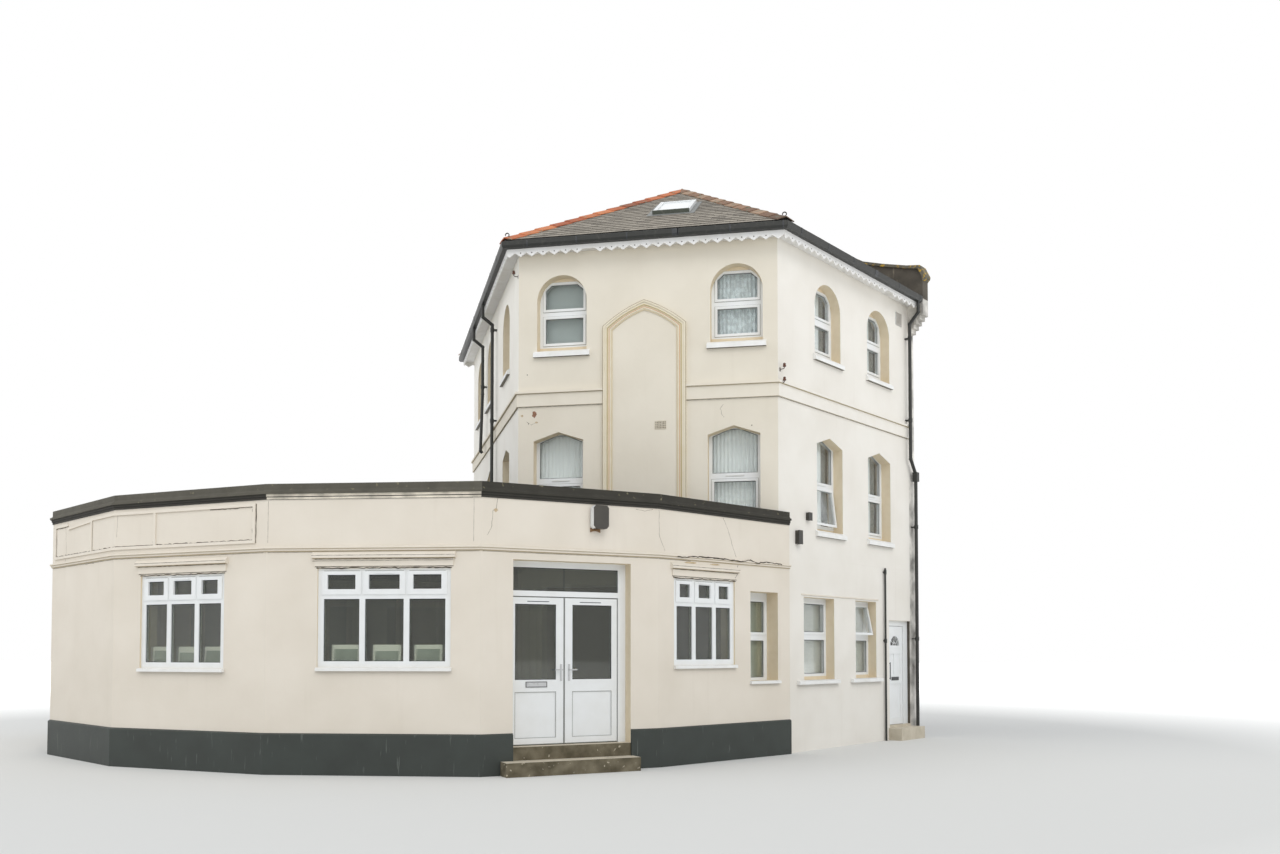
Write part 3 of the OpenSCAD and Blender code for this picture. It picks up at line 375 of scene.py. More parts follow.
def between(tree: Tree, value: Socket, low: float, high: float, start: float = 0, end: float = 1) -> Socket:
    """Maps a value from one range to another, and holds it at the range's ends.

    Args:
        tree: The tree.
        value: The value.
        low: Where its own range starts.
        high: Where its own range ends.
        start: What it gives at low.
        end: What it gives at high.

    Returns:
        The mapped value's socket.
    """
    limits = {"From Min": low, "From Max": high, "To Min": start, "To Max": end}
    return add_node(tree, "ShaderNodeMapRange", limits, {"Value": value}).outputs[0]


def sum_up(tree: Tree, kind: str, first: Socket, second: Socket | float) -> Socket:
    """Joins two values by a named sum.

    Args:
        tree: The tree.
        kind: The sum, such as MULTIPLY or ADD.
        first: The first value.
        second: The second value, as a socket or a number.

    Returns:
        The result's socket.
    """
    node = add_node(tree, "ShaderNodeMath", {"operation": kind}, {0: first})
    if isinstance(second, float):
        node.inputs[1].default_value = second
    else:
        tree.links.new(second, node.inputs[1])
    return node.outputs[0]


def height_of(tree: Tree) -> Socket:
    """Returns the socket of the height above the ground, in metres."""
    return add_node(tree, "ShaderNodeSeparateXYZ", links={0: place(tree)}).outputs[2]


def sideways(tree: Tree, point: Vector, heading: float) -> Socket:
    """Measures the distance in plan from a point along a heading.

    Args:
        tree: The tree.
        point: The point.
        heading: The heading in degrees.

    Returns:
        The distance's socket, in metres.
    """
    along = way(heading)
    dot = add_node(tree, "ShaderNodeVectorMath", {"operation": "DOT_PRODUCT"}, {0: place(tree)})
    dot.inputs[1].default_value = (along.x, along.y, 0.0)
    return sum_up(tree, "SUBTRACT", dot.outputs["Value"], float(along.dot(point)))


def upward(tree: Tree) -> Socket:
    """Returns the socket that is 1 on level tops, 0 on upright faces and -1 on undersides."""
    normal = add_node(tree, "ShaderNodeNewGeometry").outputs["True Normal"]
    return add_node(tree, "ShaderNodeSeparateXYZ", links={0: normal}).outputs[2]


def facing_down(tree: Tree) -> Socket:
    """Returns the socket that is 1 on undersides, where shade is painted along with the dirt that rain never
    washes off.
    """
    return between(tree, upward(tree), -0.25, -0.45)


def relief(tree: Tree, shader: Node, pattern: Socket, depth_mm: float, strength: float) -> None:
    """Gives a shader fine relief.

    Args:
        tree: The tree.
        shader: The shader.
        pattern: The pattern that gives the relief's height.
        depth_mm: The relief's depth in millimetres.
        strength: How strongly it shows.
    """
    values = {"Distance": depth_mm * MM, "Strength": strength}
    bump = add_node(tree, "ShaderNodeBump", values, {"Height": pattern})
    tree.links.new(bump.outputs[0], shader.inputs["Normal"])


@dataclass(frozen=True)
class PaintedRender(Finish):
    """Sand and cement render, floated by hand and painted: matt, faintly mottled, with dirt runs.

    Args:
        face: The face it lies on, whose openings have painted reveals.
        origin: The house's left front corner in the part's frame.
        reveal: Colour of the reveals.
        dirt: Colour of the dirt runs.
        dirt_share: How strongly the dirt shows, from 0 to 1.
        grain_mm: Size of the render's grit, drawn coarser than the real 2 mm so that it shows.
    """

    face: Face = Face.CORNER
    origin: Vector = Vector((0.0, 0.0))
    reveal: str = "#e0d2b8"
    dirt: str = "#a89a80"
    dirt_share: float = 0.15
    grain_mm: float = 9.0

    def paint(self, tree: Tree, shader: Node) -> None:
        """Paints mottling, upright dirt runs and the reveals' colour.

        Args:
            tree: The material's tree.
            shader: Its shader.
        """
        run = self.face.run
        depth = sideways(tree, run.start + self.origin, run.heading + 90)
        in_reveal = between(tree, depth, 0.004, 0.006)
        clouds = between(tree, noise(tree, 900, 6), 0.35, 0.75, 0.0, 0.16)
        mottled = blend(tree, clouds, self.colour, self.dirt)
        runs = between(tree, noise(tree, 160, 3, (1, 1, 14)), 0.6, 0.85, 0.0, self.dirt_share)
        patchy = sum_up(tree, "MULTIPLY", runs, noise(tree, 2500, 2))
        painted = blend(tree, patchy, mottled, self.dirt)
        stains = between(tree, noise(tree, 120, 5), 0.4, 0.9, 0.0, 0.3)
        reveal = blend(tree, stains, self.reveal, "#c9b48c")
        colour = blend(tree, in_reveal, painted, reveal)
        tree.links.new(colour, shader.inputs["Base Color"])
        trowelled = sum_up(tree, "MULTIPLY", noise(tree, 55, 3), 2.5)
        relief(tree, shader, sum_up(tree, "ADD", noise(tree, self.grain_mm, 5), trowelled), 1.2, 0.4)


@dataclass(frozen=True)
class Masonry(Finish):
    """Cast or dressed masonry left to the weather: rough and blotched, with undersides that may be painted
    darker as shade and dirt.

    Args:
        blotch: Colour of the blotches.
        blotch_mm: Size of the blotches.
        share: How strongly they show.
        speck: Colour of the lichen spots.
        speck_share: How much of the surface the spots cover, from 0 to 1.
        under: Colour painted on its undersides as shade and dirt, or nothing.
        drip: Colour of upright drips, or nothing.
    """

    blotch: str = "#5b5952"
    blotch_mm: float = 300.0
    share: float = 0.6
    speck: str = "#b9a24a"
    speck_share: float = 0.0
    under: str = ""
    drip: str = ""

    def base(self, tree: Tree) -> Socket | str:
        """Returns its main colour, or a pattern of them."""
        return self.colour

    def paint(self, tree: Tree, shader: Node) -> None:
        """Paints the blotches, the drips, the painted shade and dirt of the undersides and the lichen spots.

        Args:
            tree: The material's tree.
            shader: Its shader.
        """
        blotches = between(tree, noise(tree, self.blotch_mm, 8), 0.35, 0.7, 0.0, self.share)
        colour = blend(tree, blotches, self.base(tree), self.blotch)
        if self.drip:
            runs = between(tree, noise(tree, 45, 3, (1, 1, 9)), 0.66, 0.72, 0.0, 0.8)
            colour = blend(tree, runs, colour, self.drip)
        if self.under:
            # Undersides take the under colour: painted shade, with dirt
            colour = blend(tree, facing_down(tree), colour, self.under)
        if self.speck_share:
            low = 0.68 - 0.2 * self.speck_share
            spots = between(tree, noise(tree, self.blotch_mm / 3, 6), low, low + 0.06)
            colour = blend(tree, spots, colour, self.speck)
        tree.links.new(colour, shader.inputs["Base Color"])
        relief(tree, shader, noise(tree, 14, 6), 2.0, 0.5)


@dataclass(frozen=True)
class ZonedMasonry(Masonry):
    """Masonry painted another colour on one stretch of the building.

    Args:
        other: The stretch's colour.
        bounds: The stretch's limits in plan, each a point and the heading that leads into the stretch.
        below: The stretch's upper limit, in metres.
    """

    other: str = "#e6dbcd"
    bounds: tuple[tuple[Vector, float], ...] = ()
    below: float = 0.0

    def base(self, tree: Tree) -> Socket:
        """Picks the other colour within the bounds.

        Args:
            tree: The material's tree.

        Returns:
            The colour's socket.
        """
        masks = [between(tree, sideways(tree, p, heading), 0.0, 0.01) for p, heading in self.bounds]
        inside = masks[0]
        if self.below:
            masks.append(between(tree, height_of(tree), self.below, self.below - 0.01))
        for mask in masks[1:]:
            inside = sum_up(tree, "MULTIPLY", inside, mask)
        return blend(tree, inside, self.colour, self.other)


@dataclass(frozen=True)
class WornSteps(Masonry):
    """Sandstone steps whose risers are dark with dirt and chipped paint, but for the street door's.

    Args:
        riser: Colour of the dark risers.
        end: A point in plan that parts them from the street door's step.
    """

    riser: str = "#504937"
    end: Vector = Vector((0.0, 0.0))

    def base(self, tree: Tree) -> Socket:
        """Picks the stone's colour on treads and the dirt's on upright faces.

        Args:
            tree: The material's tree.

        Returns:
            The colour's socket.
        """
        upright = between(tree, upward(tree), 0.5, 0.4)
        here = between(tree, sideways(tree, self.end, 180), 0.0, 0.01)
        chipped = between(tree, noise(tree, 60, 4), 0.66, 0.7)
        dirt = blend(tree, chipped, self.riser, "#b9b09c")
        return blend(tree, sum_up(tree, "MULTIPLY", upright, here), self.colour, dirt)


@dataclass(frozen=True)
class SmoothPlastic(Finish):
    """Rigid PVC, extruded: even, half-gloss, with a film of dirt that gathers in soft clouds.

    Args:
        film: Colour of the film of dirt.
        share: How strongly the film shows.
        under: Colour painted on its undersides as shade and dirt, or nothing.
    """

    film: str = "#c9c6bd"
    share: float = 0.35
    under: str = ""

    def paint(self, tree: Tree, shader: Node) -> None:
        """Paints the film of dirt, and the painted shade and dirt of the undersides.

        Args:
            tree: The material's tree.
            shader: Its shader.
        """
        film = between(tree, noise(tree, 220, 5), 0.4, 0.8, 0.0, self.share)
        colour = blend(tree, film, self.colour, self.film)
        if self.under:
            # Undersides take the under colour: painted shade, with dirt
            colour = blend(tree, facing_down(tree), colour, self.under)
        tree.links.new(colour, shader.inputs["Base Color"])
        tree.links.new(between(tree, film, 0.0, 1.0, self.roughness, 0.8), shader.inputs["Roughness"])


@dataclass(frozen=True)
class FloatGlass(Finish):
    """Sealed float-glass units, drawn smooth: a faint cast, a film of dust, and hardly rippled.

    Args:
        clear: How much of the light passes the film of dust.
        ior: How strongly the unit's panes mirror, taken together, as one pane's index.
        film: Share of the pane that mirrors and scatters; the rest lets light straight through.
    """

    clear: float = 0.95
    ior: float = 1.7
    film: float = 0.28

    def paint(self, tree: Tree, shader: Node) -> None:
        """Sets the glass's own values and a ripple too faint to see but in its reflections.

        Args:
            tree: The material's tree.
            shader: Its shader.
        """
        shader.inputs["Transmission Weight"].default_value = self.clear
        shader.inputs["Alpha"].default_value = self.film
        shader.inputs["IOR"].default_value = self.ior
        relief(tree, shader, noise(tree, 900, 1), 1.0, 0.05)


@dataclass(frozen=True)
class Coated(Finish):
    """Metal with a coat of paint or powder: even, with scuffs that dull it.

    Args:
        metallic: How metallic the surface is.
        worn: Colour of the scuffs.
    """

    metallic: float = 0.0
    worn: str = "#77746c"

    def paint(self, tree: Tree, shader: Node) -> None:
        """Paints the scuffs.

        Args:
            tree: The material's tree.
            shader: Its shader.
        """
        shader.inputs["Metallic"].default_value = self.metallic
        scuffs = between(tree, noise(tree, 60, 6), 0.55, 0.8, 0.0, 0.5)
        tree.links.new(blend(tree, scuffs, self.colour, self.worn), shader.inputs["Base Color"])


@dataclass(frozen=True)
class Weathered(Finish):
    """Small pieces of one make that have weathered apart: each its own tone, with blotches and lichen.

    Args:
        dark: Colour of the darkest pieces, and of faces with tone 0, such as the slates' edges painted as
            shade.
        light: Colour of the lightest pieces.
        speck: Colour of the lichen.
        speck_share: How much of the surface the lichen covers, from 0 to 1.
        blotch_mm: Size of the blotches.
    """

    dark: str = "#5d5852"
    light: str = "#a59d8f"
    speck: str = "#8a8264"
    speck_share: float = 0.25
    blotch_mm: float = 120.0

    def paint(self, tree: Tree, shader: Node) -> None:
        """Paints each piece's tone, then the blotches and lichen across them all.

        Args:
            tree: The material's tree.
            shader: Its shader.
        """
        tone = add_node(tree, "ShaderNodeAttribute", {"attribute_name": "tone"}).outputs["Fac"]
        stops = [(0.0, self.dark), (0.35, self.colour), (1.0, self.light)]
        own = add_node(tree, "ShaderNodeValToRGB", {"ramp": stops}, {0: tone}).outputs[0]
        blotches = between(tree, noise(tree, self.blotch_mm, 6), 0.45, 0.75, 0.0, 0.4)
        colour = blend(tree, blotches, own, self.dark)
        low = 0.66 - 0.2 * self.speck_share
        spots = between(tree, noise(tree, self.blotch_mm / 2, 5), low, low + 0.08, 0.0, 0.7)
        tree.links.new(blend(tree, spots, colour, self.speck), shader.inputs["Base Color"])
        relief(tree, shader, noise(tree, 10, 5), 1.2, 0.4)


@dataclass(frozen=True)
class Woven(Finish):
    """Thin curtain cloth, woven or knitted in open yarns, so that the room shows through it.

    Args:
        cover: The share of its surface that the yarns cover.
        motif_mm: Spacing of a denser flower motif, or 0 for none.
        border: Heights in metres between which the motif lies, or all of it.
    """

    cover: float = 0.8
    motif_mm: float = 0.0
    border: Flat = (0.0, 99.0)

    def paint(self, tree: Tree, shader: Node) -> None:
        """Sets how far the cloth covers what is behind it, yarn by yarn and motif by motif.

        Args:
            tree: The material's tree.
            shader: Its shader.
        """
        yarn = between(tree, noise(tree, 3.0, 2), 0.3, 0.7, self.cover - 0.08, self.cover + 0.08)
        if self.motif_mm:
            values = {"Scale": 1000 / self.motif_mm, "Randomness": 0.55}
            cells = add_node(tree, "ShaderNodeTexVoronoi", values, {"Vector": place(tree)})
            petals = sum_up(tree, "ADD", cells.outputs["Distance"], noise(tree, self.motif_mm / 3, 3))
            flower = between(tree, petals, 0.98, 0.82)
            low, high = self.border
            above = between(tree, height_of(tree), low, low + 0.01)
            under = between(tree, height_of(tree), high, high - 0.01)
            inside = sum_up(tree, "MULTIPLY", above, under)
            yarn = sum_up(tree, "ADD", yarn, sum_up(tree, "MULTIPLY", flower, inside))
        tree.links.new(between(tree, yarn, 0.0, 1.0), shader.inputs["Alpha"])


def finishes(origin: Vector) -> dict[str, Finish]:
    """Chooses the finish of every solid.

    Args:
        origin: The house's left front corner in the part's frame.

    Returns:
        The finishes, by the solid's name.
    """
    cream, shop, pale = "#e0d9ca", "#e1d9cc", "#e8e4dc"
    found: dict[str, Finish] = {}
    walls = {
        Face.CORNER: (cream, "corner_wall"),
        Face.LEFT: ("#f0ede5", "left_wall"),
        Face.RIGHT: (pale, "right_wall", "right_ground_wall", "street_door_lintel"),
        Face.REAR: (cream, "rear_wall"),
        Face.SHOP_SIDE: (shop, "shop_side_wall"),
        Face.SHOP_FAR_LEFT: (shop, "shop_far_left_wall"),
        Face.SHOP_LEFT: (shop, "shop_left_wall"),
        Face.SHOP_FRONT: (shop, "shop_front_wall"),
        Face.ENTRANCE: (shop, "entrance_side_walls", "entrance_lintel"),
        Face.SHOP_RIGHT: (shop, "shop_right_wall"),
        Face.SHOP_REAR: (shop, "shop_rear_wall"),
    }
    # Floated render: broad matt walls, faintly streaked, with warmer reveals that show their depth
    for face, (colour, *nodes) in walls.items():
        render = PaintedRender(f"floated_render_{face.value}_{colour[1:]}", colour, 0.85, face, origin)
        found.update({node: render for node in nodes})
    # Unpainted render: a dull ground behind the glass
    plain_render = Masonry("floated_render_inside", "#d9d2c2", 0.9, "#bdb39c", 500, 0.4)
    # Run stucco: undersides painted darker, as shade and dirt, draw every band and hood as a darker line
    stucco = Masonry("run_stucco_painted", shop, 0.8, "#cbbfa9", 260, 0.2, under="#b3a58b")
    # Dressed stone: soft brown blotches of wear
    stone = Masonry("dressed_sandstone", "#b3a993", 0.85, "#8a8170", 180, 0.6)
    # Cast coping: ochre lichen on dark grey, the mark of age
    coping = Masonry("cast_coping_lichened", "#6f6a5c", 0.95, "#45423a", 220, 0.7, "#b8963a", 0.6)
    # Mineral felt: dark and rough, so that the flat roof stays back
    felt = Masonry("mineral_felt", "#4c4b47", 0.95, "#35342f", 260, 0.6)
    # Rolled masonry paint: a dark foot to the walls with paler upright drips
    plinth = Masonry("masonry_paint_dark", "#353b37", 0.6, "#282b28", 400, 0.5, drip="#565b56")
    # Sawn boards: a warm brown seen only through the panes
    boards = Masonry("sawn_boards", "#8f7d62", 0.8, "#6f5e45", 300, 0.5)
    # Extruded PVC: half-gloss edges that catch the light, dulled in clouds
    upvc = SmoothPlastic("extruded_upvc", "#e6e8e8", 0.35, "#d3d2cc", 0.25)
    # Brushed gloss paint: a softer shine than the PVC's, and more dirt
    board = SmoothPlastic("gloss_painted_boards", "#e9e8e6", 0.45, "#cbc8bb", 0.4)
    # Painted sills: bright fronts over undersides painted dark as shade and dirt
    sills = SmoothPlastic("gloss_painted_sills", "#ebebe9", 0.5, "#cfccc0", 0.4, "#6e695d")
    # Moulded black PVC: dark lines with a soft shine, scuffed paler
    black = Coated("moulded_black_pvc", "#262724", 0.45, 0.0, "#4c4b44")
    # Float glass: clear enough that the nets behind it stay lit
    glass = FloatGlass("float_glass_units", "#f0f7f6", 0.02)
    # Toughened glass: a denser film that greys the room behind
    shop_glass = FloatGlass("float_glass_toughened", "#dadfd2", 0.02, 0.965, 1.45, 0.82)
    # Fibre slate: a grey ground in the joints of the single slates
    slates = Masonry("fibre_slate", "#6b6a69", 0.8, "#4d4b49", 350, 0.6, "#8a8470", 0.2)
    # Fired clay: a red-brown with dark blotches
    clay = Masonry("fired_clay_tile", "#96503a", 0.85, "#5f3a2d", 250, 0.7, "#8c8a6a", 0.25)
    # Chromed zinc: small bright glints of metal on the doors
    metal = Coated("satin_chromed_zinc", "#b9babb", 0.3, 1.0)
    # Lacquered zinc: nearly black, with a dull glint
    dark_metal = Coated("black_lacquered_zinc", "#37383a", 0.35, 0.3)
    frames = ("shop_window_frames", "house_window_frames", "entrance_frame", "street_door_frame")
    leaves = ("shop_door_left", "shop_door_right", "street_door")
    groups = {
        plain_render: ("inner_piers", "inner_beams"),
        stucco: ("shop_string", "window_hoods", "sign_panel_frames"),
        stone: ("shop_floor", "house_floor"),
        coping: ("party_coping",),
        felt: ("shop_roof",),
        plinth: ("shop_plinth",),
        boards: ("first_floor", "second_floor"),
        upvc: (*frames, *leaves, "roof_window", "wall_fittings"),
        board: ("soffit_and_fascia", "valance"),
        sills: ("window_sills",),
        black: ("gutter", "rainwater_pipes"),
        glass: ("house_glass", "street_door_glass"),
        shop_glass: ("shop_glass", "shop_door_left_glass", "shop_door_right_glass"),
        slates: ("corner_roof_slope", "left_roof_slope", "right_roof_slope", "rear_roof_slope"),
        clay: ("hip_tiles",),
        metal: ("shop_door_left_fittings", "shop_door_right_fittings"),
        dark_metal: ("street_door_fittings",),
    }
    for finish, names in groups.items():
        found.update({name: finish for name in names})
    right, front, entrance = (f.run.start + origin for f in (Face.RIGHT, Face.SHOP_FRONT, Face.ENTRANCE))
    front_turn = (SHOP_HEADINGS[1] + SHOP_HEADINGS[2]) / 2
    entrance_turn = (SHOP_HEADINGS[2] + SHOP_HEADINGS[3]) / 2
    # Run stucco band: it takes each wall's colour, over an underside painted darker as shade and dirt
    found["string_course"] = ZonedMasonry(
        "run_stucco_band", cream, 0.8, "#c9bda6", 260, 0.15,
        under="#b0a48a", other=pale, bounds=((right, RIGHT_HEADING / 2),),
    )
    # Run moulding under the cap: nearly black, but cream over the front window, with undersides painted
    # darker as shade
    found["cap_moulding"] = ZonedMasonry(
        "run_cap_moulding", "#37352f", 0.85, "#292722", 200, 0.5,
        under="#24221f", other="#efe6d4", bounds=((front, front_turn), (entrance, entrance_turn + 180)),
    )
    # Felt capping: a weathered brown-grey edge that turns darker over the entrance
    found["parapet_cap"] = ZonedMasonry(
        "felt_capping_weathered", "#59564c", 0.85, "#403d36", 240, 0.5, "#7a745c", 0.1,
        other="#302e27", bounds=((entrance, entrance_turn),),
    )
    # Stucco of the niche: creamy and stained, so that its lines of colour and painted shade stand out
    found["niche_moulding"] = Masonry("run_stucco_niche", "#e0d8c4", 0.8, "#cdbf9d", 200, 0.3)
    # Cement render: dark blotches and pale drips, painted pale towards the street
    street_end = inward(right, RIGHT_HEADING, 0.02)
    found["party_wall"] = ZonedMasonry(
        "cement_render_weathered", "#5d574e", 0.95, "#3c3832", 350, 0.8,
        drip="#8b8272", other=pale, bounds=((street_end, RIGHT_HEADING - 90),), below=9.0,
    )
    # Worn steps: pale treads over dark, chipped risers
    steps = WornSteps("dressed_sandstone_steps", "#cbc2b0", 0.85, "#a0967f", 180, 0.4, end=right)
    found["door_steps"] = steps
    return found


@dataclass(frozen=True)
class StudioPaper(Finish):
    """Pale matt paper that fades to white far from the building, so that no horizon shows.

    Args:
        near: The distance in metres from the frame's origin at which the fade starts.
        far: The distance at which it is all white.
    """

    near: float = 14.0
    far: float = 34.0

    def paint(self, tree: Tree, shader: Node) -> None:
        """Fades the paper to plain white with the distance.

        Args:
            tree: The material's tree.
            shader: Its shader.
        """
        far = add_node(tree, "ShaderNodeVectorMath", {"operation": "LENGTH"}, {0: place(tree)})
        fade = between(tree, far.outputs["Value"], self.near, self.far)
        shader.inputs["Emission Color"].default_value = linear("#ffffff")
        tree.links.new(fade, shader.inputs["Emission Strength"])


# Pieces


def angles(count: int) -> list[float]:
    """Returns the angles of a full turn in equal steps, in radians."""
    return [2 * math.pi * n / count for n in range(count)]


class Shape:
    """Collects the faces of one piece, each with a tone from 0 to 1 that its finish may read."""

    def __init__(self) -> None:
        """Starts empty."""
        self.points: list[Vector] = []
        self.faces: list[tuple[int, ...]] = []
        self.tones: list[float] = []

    def face(self, numbers: Sequence[int], tone: float = 0.5) -> None:
        """Adds one face by its points' numbers."""
        self.faces.append(tuple(numbers))
        self.tones.append(tone)

    def loft(
        self, rings: Sequence[Sequence[Vector]], tone: float = 0.5, side_tone: float | None = None
    ) -> None:
        """Adds a solid through closed rings of points, all with as many points.

        Args:
            rings: The rings, from one end to the other.
            tone: Its tone.
            side_tone: The tone of the faces between the rings, where it is another.
        """
        start, size = len(self.points), len(rings[0])
        for ring in rings:
            self.points.extend(ring)
        for row in range(len(rings) - 1):
            low = start + row * size
            for k in range(size):
                after = (k + 1) % size
                quad = (low + k, low + after, low + size + after, low + size + k)
                self.face(quad, tone if side_tone is None else side_tone)
        self.face([start + k for k in reversed(range(size))], tone)
        self.face([start + (len(rings) - 1) * size + k for k in range(size)], tone)

    def ring_band(self, outer: Sequence[Vector], inner: Sequence[Vector], push: Vector) -> None:
        """Adds a flat ring between two outlines.

        Args:
            outer: The outer outline.
            inner: The inner outline, with as many points.
            push: From the ring's front to its back.
        """
        start, size = len(self.points), len(outer)
        for ring in (outer, inner, [p + push for p in outer], [p + push for p in inner]):
            self.points.extend(ring)
        for k in range(size):
            after = (k + 1) % size
            a, b, c, d = (start + n * size for n in range(4))
            self.face((a + k, a + after, b + after, b + k))
            self.face((c + after, c + k, d + k, d + after))
            self.face((a + after, a + k, c + k, c + after))
            self.face((b + k, b + after, d + after, d + k))

    def tube(self, path: Sequence[Vector], radius: float, sides: int = 8) -> None:
        """Adds a round bar.

        Args:
            path: The points of its centre line.
            radius: Its radius.
            sides: How many sides it is drawn with.
        """
        rings: list[list[Vector]] = []
        side = (path[1] - path[0]).orthogonal()
        for k, point in enumerate(path):
            along = (path[min(k + 1, len(path) - 1)] - path[max(k - 1, 0)]).normalized()
            side = (side - along * side.dot(along)).normalized()
            other = along.cross(side)
            rings.append([point + radius * (math.cos(t) * side + math.sin(t) * other) for t in angles(sides)])
        self.loft(rings)


@dataclass
class Assembly:
    """A sub-assembly that turns shapes into pieces of its own.

    Args:
        site: The plan's place in the frame.
    """

    site: Site

    def build(self) -> None:
        """Makes every piece."""
        raise NotImplementedError

    def spot(self, face: Face, along: float, depth: float, height: float) -> Vector:
        """Finds a place on a face from millimetres along it, behind it and above the ground."""
        return self.site.at(face, along * MM, depth * MM, height * MM)

    def outline(self, face: Face, points: Iterable[Flat], depth: float) -> list[Vector]:
        """Sets an outline of places along and above a face at one depth, all in millimetres."""
        return [self.spot(face, s, depth, z) for s, z in points]

    def block(self, shape: Shape, face: Face, points: Sequence[Flat], near: float, far: float) -> None:
        """Adds an upright outline on a face, from one depth to another, in millimetres."""
        shape.loft([self.outline(face, points, near), self.outline(face, points, far)])

    def bar(self, shape: Shape, face: Face, section: Sequence[Flat], ends: Flat) -> None:
        """Adds a bar along a face from the depths and heights of its section, in millimetres."""
        shape.loft([[self.spot(face, along, y, z) for y, z in section] for along in ends])

    def ring(
        self, shape: Shape, face: Face, outline: Sequence[Flat], width: float, front: float, thick: float
    ) -> None:
        """Adds a flat ring inside an outline on a face.

        Args:
            shape: Where its faces go.
            face: The face.
            outline: The outline in millimetres.
            width: The ring's width in millimetres.
            front: Depth of its front in millimetres.
            thick: Its thickness in millimetres.
        """
        push = self.site.inward_of(face) * thick * MM
        outer, inner = (self.outline(face, o, front) for o in (outline, inset(outline, width)))
        shape.ring_band(outer, inner, push)

    def make(
        self, name: str, shape: Shape, finish: Finish, slot: str, body: str = "root", edge: float = 0.0
    ) -> Piece:
        """Makes a shape into a piece.

        Args:
            name: The piece's name.
            shape: Its faces.
            finish: Its finish.
            slot: Not used.
            body: The body that it rides on.
            edge: Width of its rounded edges in millimetres, or 0 for none.

        Returns:
            The piece.
        """
        mesh = bpy.data.meshes.new(name)
        mesh.from_pydata(shape.points, [], shape.faces)
        tones = mesh.attributes.new("tone", "FLOAT", "FACE")
        tones.data.foreach_set("value", shape.tones)
        work = bmesh.new()
        work.from_mesh(mesh)
        bmesh.ops.recalc_face_normals(work, faces=work.faces)
        work.to_mesh(mesh)
        work.free()
        piece = bpy.data.objects.new(name, mesh)
        bpy.context.scene.collection.objects.link(piece)
        if edge:
            rounding = piece.modifiers.new("rounded_edges", "BEVEL")
            rounding.width, rounding.segments, rounding.limit_method = edge * MM, 2, "ANGLE"
        finish.dress(piece)
        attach(piece, body)
        log.info("%s: %d faces, %s", name, len(shape.faces), finish.name)
        return piece


def box_outline(left: float, foot: float, right: float, head: float) -> list[Flat]:
    """Returns a rectangle's corners."""
    return [(left, foot), (right, foot), (right, head), (left, head)]


def inset(points: Sequence[Flat], width: float) -> list[Flat]:
    """Shrinks a convex outline.

    Args:
        points: The outline, given anticlockwise.
        width: How far every side moves inwards.

    Returns:
        The smaller outline.
    """
    found = []
    size = len(points)
    for k in range(size):
        before, here, after = (Vector(points[(k + n) % size]) for n in (-1, 0, 1))
        first, second = heading_of(before, here), heading_of(here, after)
        moved = meet(inward(before, first, width), first, inward(here, second, width), second)
        found.append((moved.x, moved.y))
    return found


# Roof


EAVE_OUT, EAVE_Z, PITCH = 0.28, 9.06, math.radians(31)


def offset_corner(first: Run, second: Run, depth: float) -> Vector:
    """Finds where two faces meet once both are moved inwards by depth."""
    return meet(
        inward(first.start, first.heading, depth),
        first.heading,
        inward(second.start, second.heading, depth),
        second.heading,
    )


@dataclass(frozen=True)
class RoofPlan:
    """The roof's corners in plan.

    Args:
        apex: Where the corner slope's two hips meet.
        top: Where the left, right and rear slopes meet.
        ridge_end: Where the ridge meets the party wall.
        outlines: Each slope's corners, by its face.
    """

    apex: Vector
    top: Vector
    ridge_end: Vector
    outlines: dict[Face, list[Vector]]

    @classmethod
    def made(cls) -> "RoofPlan":
        """Works the corners out from the faces' runs.

        Returns:
            The roof's plan.
        """
        left, corner, right, rear = (f.run for f in (Face.LEFT, Face.CORNER, Face.RIGHT, Face.REAR))
        pairs = ((rear, left), (left, corner), (corner, right))
        inner = [offset_corner(a, b, EAVE_OUT) for a, b in pairs]
        starts = [left.start, corner.start, right.start]
        hips = [heading_of(p, q) for p, q in zip(starts, inner)]
        apex = meet(starts[1], hips[1], starts[2], hips[2])
        side_meet = meet(starts[1], LEFT_HEADING, starts[2], RIGHT_HEADING)
        top = meet(apex, heading_of(side_meet, apex), starts[0], hips[0])
        rear_meet = meet(starts[2], RIGHT_HEADING, starts[0], REAR_HEADING)
        party = starts[2] + (RIGHT_WIDTH - PARTY_THICK - 0.001) * way(RIGHT_HEADING)
        ridge_end = meet(top, heading_of(rear_meet, top), party, PARTY_HEADING)
        eaves = [offset_corner(a, b, -EAVE_OUT) for a, b in pairs]
        front = inward(party, RIGHT_HEADING, -EAVE_OUT)
        back = meet(party, PARTY_HEADING, inward(rear.start, REAR_HEADING, -EAVE_OUT), REAR_HEADING)
        outlines = {
            Face.CORNER: [eaves[1], eaves[2], apex],
            Face.LEFT: [eaves[0], eaves[1], apex, top],
            Face.RIGHT: [eaves[2], front, ridge_end, top, apex],
            Face.REAR: [back, eaves[0], top, ridge_end],
        }
        return cls(apex, top, ridge_end, outlines)


